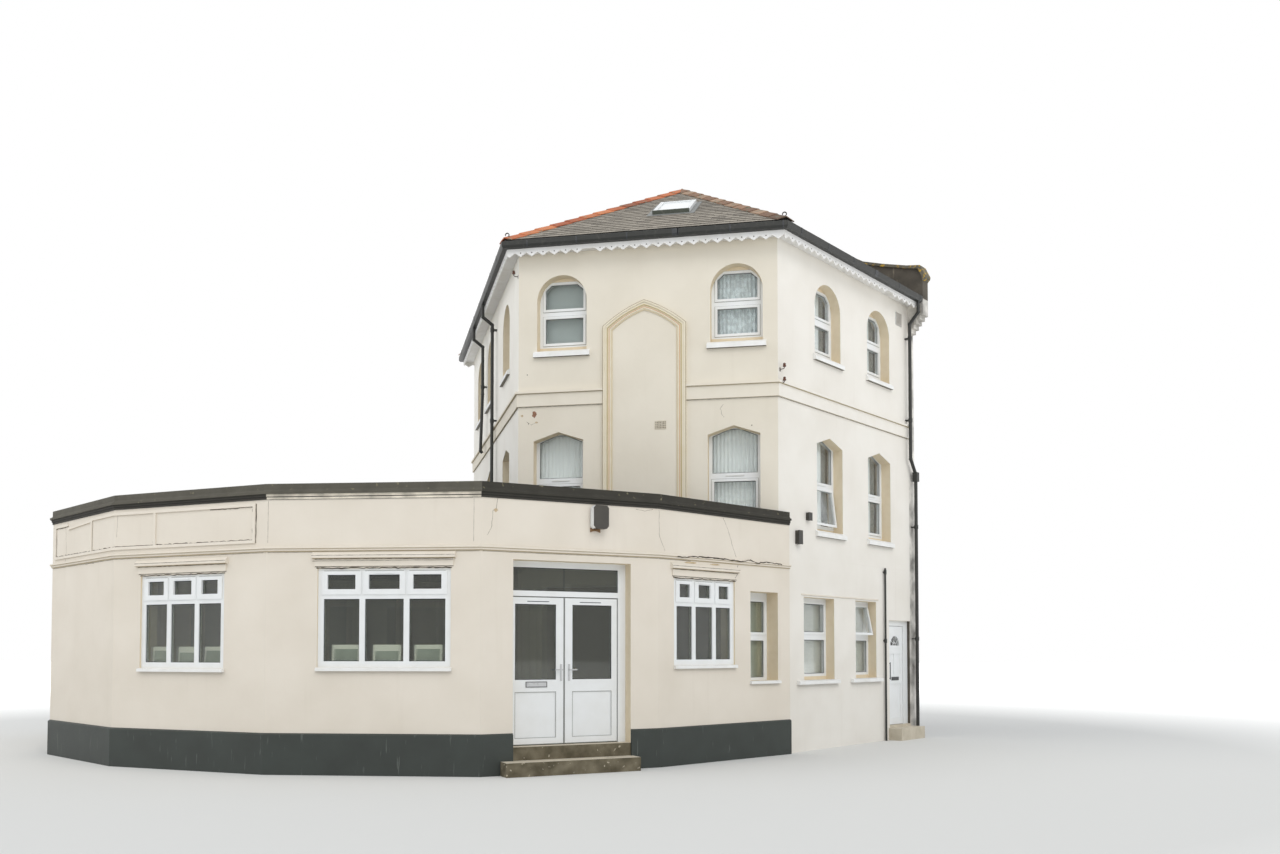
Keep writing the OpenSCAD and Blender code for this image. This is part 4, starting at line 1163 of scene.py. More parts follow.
@dataclass(frozen=True)
class Slope:
    """One slope of the roof, measured along its eave and up the slope, in metres.

    Args:
        site: The plan's place in the frame.
        face: The face under it.
    """

    site: Site
    face: Face

    @property
    def normal(self) -> Vector:
        """The slope's outward direction."""
        inner = self.site.inward_of(self.face)
        return Vector((-inner.x * math.sin(PITCH), -inner.y * math.sin(PITCH), math.cos(PITCH)))

    def at(self, along: float, up: float, lift: float = 0.0) -> Vector:
        """Finds a place on the slope.

        Args:
            along: Distance from the face's left end.
            up: Distance up the slope from its eave.
            lift: Distance above the slope.

        Returns:
            The point in the part's frame.
        """
        depth = up * math.cos(PITCH) - EAVE_OUT
        height = EAVE_Z + up * math.sin(PITCH)
        return self.site.at(self.face, along, depth, height) + self.normal * lift

    def flat(self, point: Vector) -> Vector:
        """Finds where a point of the plan lies on the slope.

        Args:
            point: The point.

        Returns:
            How far along and up the slope it lies.
        """
        run = self.face.run
        gap = point - run.start
        depth = gap.dot(way(run.heading + 90))
        return Vector((gap.dot(way(run.heading)), (depth + EAVE_OUT) / math.cos(PITCH)))


def clipped(outline: list[Vector], frame: Sequence[Vector]) -> list[Vector]:
    """Cuts an outline to a convex frame.

    Args:
        outline: The outline, given anticlockwise.
        frame: The frame, given anticlockwise.

    Returns:
        What of the outline lies in the frame.
    """
    for k, start in enumerate(frame):
        side = frame[(k + 1) % len(frame)] - start
        ahead = [side.x * (p.y - start.y) - side.y * (p.x - start.x) for p in outline]
        kept: list[Vector] = []
        for n, point in enumerate(outline):
            before = ahead[n - 1]
            if (before > 0) != (ahead[n] > 0):
                share = before / (before - ahead[n])
                kept.append(outline[n - 1].lerp(point, share))
            if ahead[n] > 0:
                kept.append(point)
        outline = kept
        if not outline:
            break
    return outline


@dataclass
class RoofCovering(Assembly):
    """Slates on four slopes, angled clay tiles on the hips and ridges, and the roof window's trim.

    Args:
        gauge: How much of each course of slates shows, in metres.
        lap: How far a slate reaches under the next course.
        width: Width of a slate.
        joint: Half the gap between two slates.
        slipped: The share of slates that have slipped down.
        tile: Length of a hip or ridge tile.
        window: The roof window's left, lower, right and upper edges on the corner slope.
    """

    gauge: float = 0.2
    lap: float = 0.03
    width: float = 0.25
    joint: float = 0.002
    slipped: float = 0.012
    tile: float = 0.42
    window: tuple[float, float, float, float] = (2.25, 1.65, 2.95, 2.83)

    def build(self) -> None:
        """Makes every piece of the covering."""
        plan = RoofPlan.made()
        # Fibre slates: each a tone of its own between dark and pale, so that the courses read from afar; the
        # slates' edge faces take the darkest colour as painted shade
        slate = Weathered("fibre_slate_split_face", "#8e877c", 0.85, "#4a463f", "#a79f92", "#c2b9a6", 0.1, 90)
        for face, corners in plan.outlines.items():
            self._slates(face, corners, slate)
        self._tiles(plan)
        self._window_trim()
        self._hip_irons(plan)

    def _slates(self, face: Face, corners: list[Vector], finish: Finish) -> None:
        """Lays one slope's slates in overlapping courses with broken joints.

        Args:
            face: The face under the slope.
            corners: The slope's corners in plan.
            finish: The slates' finish.
        """
        dice = random.Random(face.value)
        slope = Slope(self.site, face)
        frame = [slope.flat(c) for c in corners]
        reach = max(p.y for p in frame)
        left, right = min(p.x for p in frame), max(p.x for p in frame)
        shape = Shape()
        for course in range(math.ceil(reach / self.gauge)):
            low = course * self.gauge
            high = low + self.gauge + self.lap
            end = left - self.width * (1.0 + 0.5 * (course % 2))
            while end < right:
                start, end = end, end + self.width
                slip = dice.uniform(-0.004, 0.004)
                if dice.random() < self.slipped:
                    slip -= 0.03
                lift = dice.uniform(0.0, 0.002)
                tone = dice.random()
                slate = (start + self.joint, low + slip, end - self.joint, high)
                for part in self._around_window(face, slate):
                    cut = clipped(part, frame)
                    if len(cut) < 3:
                        continue
                    rings = []
                    for thick in (0.0, 0.006):
                        rings.append([slope.at(p.x, p.y, self._tilt(p.y - low) + lift + thick) for p in cut])
                    # Edge faces get tone 0, the dark colour: painted shade along each course's edge
                    shape.loft(rings, 0.25 + 0.75 * tone, 0.0)
        self.make(f"slates_{face.value}", shape, finish, "slate")

    def _tilt(self, up: float) -> float:
        """Returns how far a slate's underside stands off the boards, up from its lower edge."""
        return 0.012 - 0.010 * max(0.0, min(1.0, up / (self.gauge + self.lap)))

    def _around_window(self, face: Face, slate: tuple[float, float, float, float]) -> list[list[Vector]]:
        """Cuts a slate where the roof window stands.

        Args:
            face: The face under the slope.
            slate: The slate's left, lower, right and upper edges.

        Returns:
            The outlines that are left of it.
        """
        left, low, right, high = slate
        x0, y0, x1, y1 = self.window
        hit = face is Face.CORNER and left < x1 and right > x0 and low < y1 and high > y0
        spans = [(left, low, right, high)]
        if hit:
            spans = [
                (left, low, min(right, x0), high),
                (max(left, x1), low, right, high),
                (max(left, x0), low, min(right, x1), min(high, y0)),
                (max(left, x0), max(low, y1), min(right, x1), high),
            ]
        found = []
        for a, b, c, d in spans:
            if c - a > 0.01 and d - b > 0.01:
                found.append([Vector(p) for p in box_outline(a, b, c, d)])
        return found

    def _tiles(self, plan: RoofPlan) -> None:
        """Lays the hip and ridge tiles, each lapping over the one below it.

        Args:
            plan: The roof's corners.
        """
        # Clay tiles: one bright red hip and duller brown ones, tile by tile, with grey-green lichen
        bright = Weathered("clay_hip_tile_red", "#b0603f", 0.85, "#6f4f3e", "#cf8357", "#8f8873", 0.35, 260)
        dull = Weathered("clay_hip_tile_brown", "#8f6d57", 0.88, "#54473b", "#a98f78", "#6f7362", 0.45, 200)
        lines = (
            ("hip_tiles_left", plan.outlines[Face.LEFT][1], plan.apex, Face.LEFT, Face.CORNER, bright),
            ("hip_tiles_right", plan.outlines[Face.RIGHT][0], plan.apex, Face.CORNER, Face.RIGHT, dull),
            ("hip_tiles_far", plan.outlines[Face.REAR][1], plan.top, Face.REAR, Face.LEFT, dull),
            ("ridge_tiles_front", plan.apex, plan.top, Face.LEFT, Face.RIGHT, dull),
            ("ridge_tiles_rear", plan.ridge_end, plan.top, Face.RIGHT, Face.REAR, dull),
        )
        for name, low, high, first, second, finish in lines:
            row = self._tile_row(name, low, high, (first, second), finish)
            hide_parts("hip_tiles")

    def _tile_row(
        self, name: str, low: Vector, high: Vector, faces: tuple[Face, Face], finish: Finish
    ) -> Piece:
        """Lays one row of angled tiles.

        Args:
            name: The row's name.
            low: Its low end in plan.
            high: Its high end in plan.
            faces: The faces under the two slopes that it covers.
            finish: The tiles' finish.

        Returns:
            The row.
        """
        dice = random.Random(name)
        slopes = [Slope(self.site, f) for f in faces]
        ends = [slopes[0].at(*slopes[0].flat(p)) for p in (low, high)]
        run = ends[1] - ends[0]
        along = run.normalized()
        wings = []
        for slope, other in zip(slopes, reversed(slopes)):
            wing = along.cross(slope.normal).normalized()
            wings.append(-wing if wing.dot(other.normal) > 0 else wing)
        crown = (slopes[0].normal + slopes[1].normal).normalized()
        shape = Shape()
        count = max(1, round(run.length / self.tile))
        step = run.length / count
        for k in range(count):
            tone = dice.random()
            twist = dice.uniform(-0.006, 0.006)
            rings = []
            for share, lift in ((-0.04, 0.021), (1.0, 0.006)):
                centre = ends[0] + along * (k + share) * step + crown * lift
                if k == 0 and share < 0:
                    centre = ends[0] + crown * lift
                edge = [centre + w * 0.165 + crown * 0.004 + wings[0] * twist for w in wings]
                knee = [centre + w * 0.07 + crown * 0.02 for w in wings]
                over = 0.016 * crown
                under = [edge[0], knee[0], centre + crown * 0.028, knee[1], edge[1]]
                top = [edge[1] + over, knee[1] + over, centre + crown * 0.045, knee[0] + over, edge[0] + over]
                rings.append(under + top)
            shape.loft(rings, tone)
        return self.make(name, shape, finish, "terracotta", edge=3)

    def _window_trim(self) -> None:
        """Makes the roof window's lead apron, side flashings and dark lower cover."""
        slope = Slope(self.site, Face.CORNER)
        x0, y0, x1, y1 = self.window
        # Dressed lead: a dull grey frame that beds the window in the slates
        lead = Coated("lead_sheet_dressed", "#7d7f7d", 0.6, 0.0, "#9a9c98")
        shape = Shape()
        spans = (
            (x0 - 0.10, y0 - 0.13, x1 + 0.10, y0 - 0.004),
            (x0 - 0.10, y0 - 0.004, x0 - 0.004, y1 + 0.09),
            (x1 + 0.004, y0 - 0.004, x1 + 0.10, y1 + 0.09),
            (x0 - 0.004, y1 + 0.004, x1 + 0.004, y1 + 0.09),
        )
        for a, b, c, d in spans:
            strip = box_outline(a, b, c, d)
            shape.loft([[slope.at(s, u, lift) for s, u in strip] for lift in (0.019, 0.023)])
        self.make("roof_window_flashing", shape, lead, "roof_felt", edge=1)
        dark = Shape()
        section = [(-0.012, 0.004), (-0.003, 0.004), (-0.003, 0.088), (0.03, 0.092), (-0.012, 0.092)]
        dark.loft([[slope.at(s, y0 + u, lift) for u, lift in section] for s in (x0, x1)])
        # Powder coat: an even dark edge
        cover = Coated("powder_coated_cover", "#4a4f45", 0.5)
        self.make("roof_window_lower_cover", dark, cover, "black_pipe", edge=1)
        pane = Shape()
        rim = 0.072
        glass = box_outline(x0 + rim, y0 + rim, x1 - rim, y1 - rim)
        pane.loft([[slope.at(s, u, lift) for s, u in glass] for lift in (0.055, 0.061)])
        # Pale blind behind polished glass: the brightest spot on the slope
        bright = Coated("polished_glass_with_blind", "#eef1f1", 0.08, 0.0, "#e2e6e6")
        self.make("roof_window_pane", pane, bright, "window_glass")

    def _hip_irons(self, plan: RoofPlan) -> None:
        """Makes the curled irons at the feet of the two front hips.

        Args:
            plan: The roof's corners.
        """
        # Rusted iron: dark curls with brown scuffs
        iron = Coated("wrought_iron_rusted", "#3b3531", 0.7, 0.0, "#6e4a36")
        shape = Shape()
        slope = Slope(self.site, Face.CORNER)
        for low in plan.outlines[Face.CORNER][:2]:
            foot = slope.at(*slope.flat(low.lerp(plan.apex, 0.02)))
            up, out = Vector((0, 0, 1)), (slope.at(*slope.flat(low)) - foot).normalized()
            side = Vector((1, 0, 0))
            path = [foot + up * 0.01, foot + up * 0.035 + out * 0.03, foot + up * 0.06 + out * 0.05]
            for n in range(9):
                turn = math.radians(-90 + 36 * n)
                curl = up * (0.095 + 0.035 * math.sin(turn)) + side * 0.035 * math.cos(turn)
                path.append(foot + out * 0.05 + curl)
            shape.tube(path, 0.010, 6)
        self.make("hip_irons", shape, iron, "black_pipe")


# Depths and heights round the section of a strap that follows the gutter's outside
GUTTER_STRAP = (
    *((-318, 8911), (-349, 8952), (-349, 9034), (-334, 9034)),
    *((-334, 9030.5), (-345.5, 9030.5), (-345.5, 8955), (-317, 8914.5)),
)


@dataclass
class EavesTrim(Assembly):
    """Drilled holes in the saw-tooth board, and the gutter's brackets and joints.

    Args:
        tooth: Spacing of the board's teeth in millimetres.
        hole_height: Height of the holes' middles.
        bracket_gap: Spacing of the gutter's brackets.
        joint_at: Where each gutter's joint lies along its face.
    """

    tooth: float = 207
    hole_height: float = 8835
    bracket_gap: float = 900
    joint_at: float = 2900

    def build(self) -> None:
        """Makes one piece of holes and one of straps for each face with a gutter."""
        # Drilled holes: flat dark dots that bring out the board's teeth
        dark = Coated("drilled_hole_shadow", "#4c4840", 0.9)
        # Moulded brackets: a little paler than the gutter, so that each one shows on it
        pvc = Coated("moulded_black_pvc_brackets", "#35373a", 0.45)
        without_hole = {Face.CORNER: 6, Face.RIGHT: 17}
        for face in (Face.LEFT, Face.CORNER, Face.RIGHT):
            length = face.run.length * 1000
            holes, straps = Shape(), Shape()
            for number in range(int(length // self.tooth) + 1):
                middle = 104 + number * self.tooth
                if number == without_hole.get(face) or middle > length:
                    continue
                rings = []
                for radius, depth in ((11, -240.1), (11, -240.8), (7, -240.5)):
                    turns = [(radius * math.cos(t), radius * math.sin(t)) for t in angles(10)]
                    dot = [(middle + x, self.hole_height + z) for x, z in turns]
                    rings.append(self.outline(face, dot, depth))
                holes.loft(rings)
            brackets = [(250 + self.bracket_gap * n, 26) for n in range(int(length // self.bracket_gap) + 1)]
            for middle, width in (*brackets, (self.joint_at, 110)):
                self.bar(straps, face, GUTTER_STRAP, (middle - width / 2, middle + width / 2))
            self.make(f"valance_holes_{face.value}", holes, dark, "white_paint")
            self.make(f"gutter_brackets_{face.value}", straps, pvc, "black_pipe", edge=1.5)


# Windows


class Hanging(Enum):
    """What hangs behind an upper window."""

    NET = "plain_net"
    LACE = "lace_net"
    LACE_HEM = "net_with_lace_hem"
    SHADE = "roller_shade"


@dataclass(frozen=True)
class Light:
    """A pane with its place on a face, in millimetres.

    Args:
        face: The face.
        outline: The glass's outline.
        depth: Depth of the glass's front.
        opens: Whether it stands tilted open, so that nothing is fitted round it.
        sash: Width of the raised sash round it, or 0 for none.
        plane: Depth of the frame's front.
    """

    face: Face
    outline: Sequence[Flat]
    depth: float
    opens: bool = False
    sash: float = 0
    plane: float = 200


UPPER = {
    Face.CORNER: ((740, 3870), (800, 3920)),
    Face.RIGHT: ((1710, 3590), (1660, 3585)),
    Face.LEFT: ((1270, 3070, 5495), (1270, 3070, 5495)),
    Face.REAR: ((1250, 3150), (1250, 3150)),
}


def cut_head(middle: float, half: float, foot: float, side: float, head: float, flat: float) -> list[Flat]:
    """Outlines an upright opening with its two upper corners cut off.

    Args:
        middle: Its middle along the face.
        half: Half its width.
        foot: Height of its foot.
        side: Height at which the cuts start.
        head: Height of its head.
        flat: Half the width of the head.

    Returns:
        The outline.
    """
    return [
        (middle - half, foot),
        (middle + half, foot),
        (middle + half, side),
        (middle + flat, head),
        (middle - flat, head),
        (middle - half, side),
    ]


def house_lights() -> list[Light]:
    """Finds every light of the house's windows.

    Returns:
        The lights.
    """
    found = []
    for face, (firsts, seconds) in UPPER.items():
        for x in firsts:
            tilted = face is Face.RIGHT and x == 1710
            found.append(Light(face, cut_head(x, 394, 4860, 5510, 5634, 100), 223))
            found.append(Light(face, box_outline(x - 362, 4094, x + 362, 4713), 223, tilted, 44))
        for x in seconds:
            found.append(Light(face, cut_head(x, 350, 7930, 8275, 8373, 241), 223, False, 44))
            found.append(Light(face, box_outline(x - 350, 7309, x + 350, 7755), 223, False, 44))
    for x, half, tilted in ((1310, 520, False), (3014, 402, True)):
        found.append(Light(Face.RIGHT, box_outline(x - half + 62, 1351, x + half - 62, 1960), 201))
        vent = box_outline(x - half + 92, 2101, x + half - 92, 2609)
        found.append(Light(Face.RIGHT, vent, 201, tilted))
    return found


SHOP_WINDOWS = (
    (Face.SHOP_LEFT, 552, 2187, 1498, 2886),
    (Face.SHOP_FRONT, 758, 2692, 1522, 2925),
    (Face.SHOP_RIGHT, 326, 1713, 1535, 2884),
    (Face.SHOP_REAR, 1900, 3550, 1498, 2886),
    (Face.SHOP_REAR, 4600, 6250, 1498, 2886),
)
VENT_RING = 52.0


def shop_lights() -> list[Light]:
    """Finds every light of the shop's windows.

    Returns:
        The lights.
    """
    found = []
    for face, left, right, foot, head in SHOP_WINDOWS:
        width = right - left
        side = (width - 2 * 85 - 2 * 82 - 41) / 3
        for k in range(3):
            start = left + 85 + k * (side + 82) + (41 if k == 2 else 0)
            wide = side + (41 if k == 1 else 0)
            low = box_outline(start, foot + 87, start + wide, head - 432)
            vent = box_outline(start + 56, head - 293, start + wide - 56, head - 88)
            found += [Light(face, low, 53), Light(face, vent, 53, False, VENT_RING, 30)]
    for foot, head in ((1311, 1935), (2074, 2594)):
        found.append(Light(Face.SHOP_RIGHT, box_outline(2170, foot, 2710, head), 273))
    return found


@dataclass
class Glazing(Assembly):
    """Rubber gaskets round the panes, and the narrow gaps round the opening sashes."""

    def build(self) -> None:
        """Makes the gaskets and gaps of each face and of each shop door."""
        # Rubber gaskets: thin grey-black lines that part glass from frame
        rubber = Coated("extruded_rubber_gasket", "#3f4345", 0.7)
        # Gaps: mid-grey lines of shade and dust that show where a sash opens
        gap = Coated("shadow_gap_with_dust", "#83857f", 0.9, 0.0, "#6c6d67")
        seals: dict[Face, Shape] = {}
        gaps: dict[Face, Shape] = {}
        for light in house_lights() + shop_lights():
            if light.opens:
                continue
            self._gasket(seals.setdefault(light.face, Shape()), light)
            if light.sash:
                edge = inset(light.outline, -light.sash - 7)
                shape = gaps.setdefault(light.face, Shape())
                self.ring(shape, light.face, edge, 7, light.plane - 0.6, 0.5)
        fan = box_outline(468.5, 2632.5, 2198.5, 2969.5)
        self._gasket(seals.setdefault(Face.ENTRANCE, Shape()), Light(Face.ENTRANCE, fan, 213))
        joint = box_outline(1329, 2632, 1336, 2970)
        self.block(seals[Face.ENTRANCE], Face.ENTRANCE, joint, 211.5, 212.9)
        for face, shape in seals.items():
            self.make(f"glazing_gaskets_{face.value}", shape, rubber, "black_pipe")
        for face, shape in gaps.items():
            self.make(f"sash_gaps_{face.value}", shape, gap, "black_pipe")
        for body, left, start in (("shop_door_left", 571, 476), ("shop_door_right", 1462, 1339)):
            shape, lines = Shape(), Shape()
            self._gasket(shape, Light(Face.ENTRANCE, box_outline(left, 1337, left + 633, 2437), 218))
            panel = box_outline(left - 1, 494, left + 634, 1161)
            self.ring(lines, Face.ENTRANCE, panel, 6, 199.4, 0.5)
            self.ring(lines, Face.ENTRANCE, box_outline(start, 401, start + 851, 2541), 7, 199.4, 0.5)
            self.make(f"{body}_gasket", shape, rubber, "black_pipe", body)
            self.make(f"{body}_panel_lines", lines, gap, "white_upvc", body)

    def _gasket(self, shape: Shape, light: Light) -> None:
        """Adds one pane's gasket, in front of its glass."""
        self.ring(shape, light.face, inset(light.outline, 0.5), 9, light.depth - 5.5, 5)


@dataclass
class Hangings(Assembly):
    """Net curtains, roller shades and slatted blinds behind the windows.

    Args:
        rod_depth: Depth of the curtain rods behind the face, in millimetres.
        fold: Width of a curtain's fold.
        roll_depth: Depth of the shades' rollers.
        slat_gap: Spacing of the blinds' slats.
        slat_half: Half the width of a slat.
    """

    rod_depth: float = 372
    fold: float = 66
    roll_depth: float = 385
    slat_gap: float = 24.0
    slat_half: float = 12.5

    def build(self) -> None:
        """Hangs something behind every upper window, the tall ones below and the shop's rear ones."""
        # Polyester nets: pale cloth that lets the room show between its folds; the lace has denser flowers
        plain = Woven("polyester_net_plain_weave", "#f3f8f6", 0.9, 0.98)
        cloths = {
            Hanging.NET: plain,
            Hanging.LACE: Woven("polyester_lace_warp_knit", "#e9f2f3", 0.9, 0.74, 90.0),
            Hanging.LACE_HEM: Woven("polyester_net_with_lace_hem", "#f3f8f6", 0.9, 0.93, 80.0, (4.2, 4.6)),
        }
        choices = {
            (Face.CORNER, 0, 1): Hanging.LACE_HEM,
            (Face.CORNER, 1, 0): Hanging.SHADE,
            (Face.CORNER, 1, 1): Hanging.LACE,
        }
        for face, levels in UPPER.items():
            for level, middles in enumerate(levels):
                foot, head = ((3960, 5700), (7160, 8480))[level]
                for number, x in enumerate(middles):
                    choice = choices.get((face, level, number), Hanging.NET)
                    name = f"{choice.value}_{face.value}_{level + 1}_{number + 1}"
                    if choice is Hanging.SHADE:
                        self._shade(name, face, (x - 500, x + 500), (foot, head), "#a9b3b0")
                        continue
                    reach = (-540, 270) if face is Face.RIGHT else (-560, 560)
                    self._curtain(name, face, x, reach, (foot, head), cloths[choice])
        for number, (_, left, right, foot, head) in enumerate(SHOP_WINDOWS[3:]):
            span = (left - 60, right + 60)
            self._shade(f"rear_shade_{number + 1}", Face.SHOP_REAR, span, (foot - 60, head + 90), "#8f9390")
        blinds = (
            (Face.RIGHT, (800, 1820), (1310, 2700), 290),
            (Face.RIGHT, (2620, 3410), (1310, 2700), 290),
            (Face.SHOP_RIGHT, (2130, 2750), (1290, 2740), 350),
        )
        for number, (face, span, rise, depth) in enumerate(blinds):
            self._blind(f"slatted_blind_{number + 1}", face, span, rise, depth)

    def _curtain(self, name: str, face: Face, middle: float, reach: Flat, rise: Flat, finish: Finish) -> None:
        """Hangs a gathered net from a rod with two brackets, with folds that open towards the hem.

        Args:
            name: Its name.
            face: The face of its window.
            middle: The window's middle along the face.
            reach: Where the net starts and ends, from the middle.
            rise: Heights of its hem and its rod.
            finish: Its finish.
        """
        shape = Shape()
        ends = (-640, -620, 620, 640)
        shape.tube([self.spot(face, middle + x, self.rod_depth, rise[1]) for x in ends], 0.007)
        for x in (-625, 625):
            arm = [self.spot(face, middle + x, y, rise[1]) for y in (331, 345, self.rod_depth)]
            shape.tube(arm, 0.005, 6)
        # Lacquered steel: a pale line that closes the net's head
        steel = Coated("lacquered_steel_rod", "#d8d6cf", 0.4)
        rod = self.make(f"{name}_rod", shape, steel, "white_paint")
        dice = random.Random(name)
        span = (middle + reach[0], middle + reach[1])
        wide, columns, rows = span[1] - span[0], 130, 9
        folds = round(wide / self.fold)
        shifts = [dice.uniform(-0.3, 0.3) for _ in range(columns + 1)]
        grid = []
        for row in range(rows + 1):
            share = row / rows
            line = []
            for column in range(columns + 1):
                along = column / columns
                turn = 2 * math.pi * folds * along + 0.9 * math.sin(5 * along + 1.5 * share) + shifts[column]
                depth = self.rod_depth + (10 + 6 * share) * math.sin(turn)
                height = rise[1] + (rise[0] - rise[1]) * share
                line.append(self.spot(face, span[0] + wide * along, depth, height))
            grid.append(line)
        self._cloth(name, grid, finish, "gathered", rod)

    def _shade(self, name: str, face: Face, span: Flat, rise: Flat, colour: str) -> None:
        """Hangs a flat shade from its roller, which two end plates hold.

        Args:
            name: Its name.
            face: The face of its window.
            span: Where it starts and ends along the face.
            rise: Heights of its foot and of the roller's underside.
            colour: The cloth's sRGB hex value.
        """
        tube = Shape()
        top = rise[1] + 18
        tube.tube([self.spot(face, s, self.roll_depth, top) for s in (span[0] - 20, span[1] + 20)], 0.018, 16)
        for s in (span[0] - 22, span[1] + 18):
            self.block(tube, face, box_outline(s, rise[1] - 4, s + 4, rise[1] + 40), 331, 405)
        # Painted steel: a pale bar over the cloth
        steel = Coated("painted_steel_roller", "#c9cac6", 0.5)
        roller = self.make(f"{name}_roller", tube, steel, "white_paint")
        grid = []
        for row in range(7):
            share = row / 6
            line = []
            for column in range(13):
                along = column / 12
                bow = 1.5 * math.sin(math.pi * along) * share
                height = top + (rise[0] - rise[1] - 18) * share
                line.append(self.spot(face, span[0] + (span[1] - span[0]) * along, 366.5 + bow, height))
            grid.append(line)
        # Coated cloth: a flat, even grey
        cloth = Woven(f"coated_shade_cloth_{colour[1:]}", colour, 0.85, 1.0)
        self._cloth(name, grid, cloth, "hung", roller)

    def _cloth(self, name: str, grid: list[list[Vector]], finish: Finish, held: str, holder: Piece) -> None:
        """Args:
            name: Its name.
            grid: Its points, row by row from its top.
            finish: Its finish.
            held: Not used.
            holder: Not used.
        """
        shape = Shape()
        across = len(grid[0])
        for line in grid:
            shape.points.extend(line)
        for row in range(len(grid) - 1):
            for column in range(across - 1):
                a = row * across + column
                shape.face((a, a + 1, a + across + 1, a + across))
        piece = self.make(name, shape, finish, "white_paint")
        for polygon in piece.data.polygons:
            polygon.use_smooth = True

    def _blind(self, name: str, face: Face, span: Flat, rise: Flat, depth: float) -> None:
        """Makes a blind's tilted slats and its head rail.

        Args:
            name: Its name.
            face: The face of its window.
            span: Where it starts and ends along the face.
            rise: Heights of its foot and its rail.
            depth: Depth of its middle behind the face.
        """
        shape = Shape()
        lean = math.radians(62)
        out, up = self.slat_half * math.cos(lean), self.slat_half * math.sin(lean)
        front = [(-out, -up), (-1.5, 1.2), (out, up)]
        back = [(out + 0.6, up - 0.6), (-0.9, 0.4), (-out + 0.6, -up - 0.6)]
        for number in range(int((rise[1] - rise[0] - 40) / self.slat_gap)):
            middle = rise[0] + 14 + self.slat_gap * number
            self.bar(shape, face, [(depth + y, middle + z) for y, z in front + back], span)
        self.bar(shape, face, box_outline(depth - 16, rise[1] - 22, depth + 16, rise[1] + 8), span)
        # Lacquered aluminium: close pale lines with a satin shine, greyed by dust
        finish = SmoothPlastic("lacquered_aluminium_slats", "#cdd2c9", 0.5, "#b5b8ac", 0.3)
        self.make(name, shape, finish, "white_paint")


# Shop front and fixtures


@dataclass
class ShopDressing(Assembly):
    """Cards in the shop windows and vents in the heads of the shop doors.

    Args:
        card_tall: Height of a card in millimetres.
    """

    card_tall: float = 320

    def build(self) -> None:
        """Makes every piece."""
        self._cards()
        self._door_vents()

    def _cards(self) -> None:
        """Stands plain folded cards behind the glass of the two front windows."""
        # Coated card: the palest thing behind the dark glass, with a plain grey-green printed field
        card = SmoothPlastic("coated_card", "#fafbf9", 0.6, "#f1f2ee", 0.3)
        ink = SmoothPlastic("plain_printed_card_face", "#a9b3ad", 0.6, "#7f8c86", 0.8)
        for face, left, right, foot, _ in SHOP_WINDOWS[:2]:
            shape, faces = Shape(), Shape()
            for number in range(3):
                middle = left + (right - left) * (0.19 + 0.31 * number)
                lean = 22 + 6 * number
                sheet = box_outline(middle - 205, foot + 2, middle + 205, foot + 322)
                field = box_outline(middle - 172, foot + 42, middle + 172, foot + 262 - 30 * (number % 2))
                prop = [(middle - 30, foot + 2), (middle + 30, foot + 2)]
                prop += [(middle + 12, foot + 180), (middle - 12, foot + 180)]
                sheets = (
                    (shape, sheet, (150, 153), lean),
                    (faces, field, (149.2, 150), lean),
                    (shape, prop, (263.5, 266), -110),
                )
                for target, outline, depths, deeper in sheets:
                    rise = [(s, z, deeper * (z - foot) / self.card_tall) for s, z in outline]
                    target.loft([[self.spot(face, s, depth + y, z) for s, z, y in rise] for depth in depths])
            self.make(f"window_cards_{face.value}", shape, card, "white_paint")
            self.make(f"window_card_faces_{face.value}", faces, ink, "white_paint")

    def _door_vents(self) -> None:
        """Makes the slots of the vents in the heads of the shop doors."""
        # Slots: dark grey, as deep as a vent looks without being cut
        dark = Coated("slotted_vent_shadow", "#5c6264", 0.7)
        for body, middle in (("shop_door_left", 926), ("shop_door_right", 1750)):
            shape = Shape()
            slot = box_outline(middle - 170, 2470, middle + 170, 2482)
            self.block(shape, Face.ENTRANCE, slot, 199.8, 198.4)
            self.make(f"{body}_vent", shape, dark, "door_metal", body)


NICHE_MIDDLE, NICHE_FOOT = 2302, 3620


def niche_outline(share: float) -> list[Flat]:
    """Outlines the niche's pointed frame.

    Args:
        share: How far in from its outer edge the outline lies, from 0 to 1.

    Returns:
        The outline, on the corner face.
    """
    half, spring, rise = 742 - 168 * share, 7493 - 73 * share, 435 - 101 * share
    slant = math.hypot(half, rise)
    curve = []
    for k in range(7):
        part = k / 6
        bulge = 160 * part * (1 - part)
        curve.append((half * (1 - part) + bulge * rise / slant, spring + rise * part + bulge * half / slant))
    back = [(-x, z) for x, z in reversed(curve[:-1])]
    return [(NICHE_MIDDLE + x, z) for x, z in [(-half, NICHE_FOOT), (half, NICHE_FOOT), *curve, *back]]


# Radius and height of each ring of an insulator
GLAZED_PROFILE = ((26, 0), (30, 8), (30, 22), (20, 30), (26, 40), (24, 56), (14, 66), (4, 69))


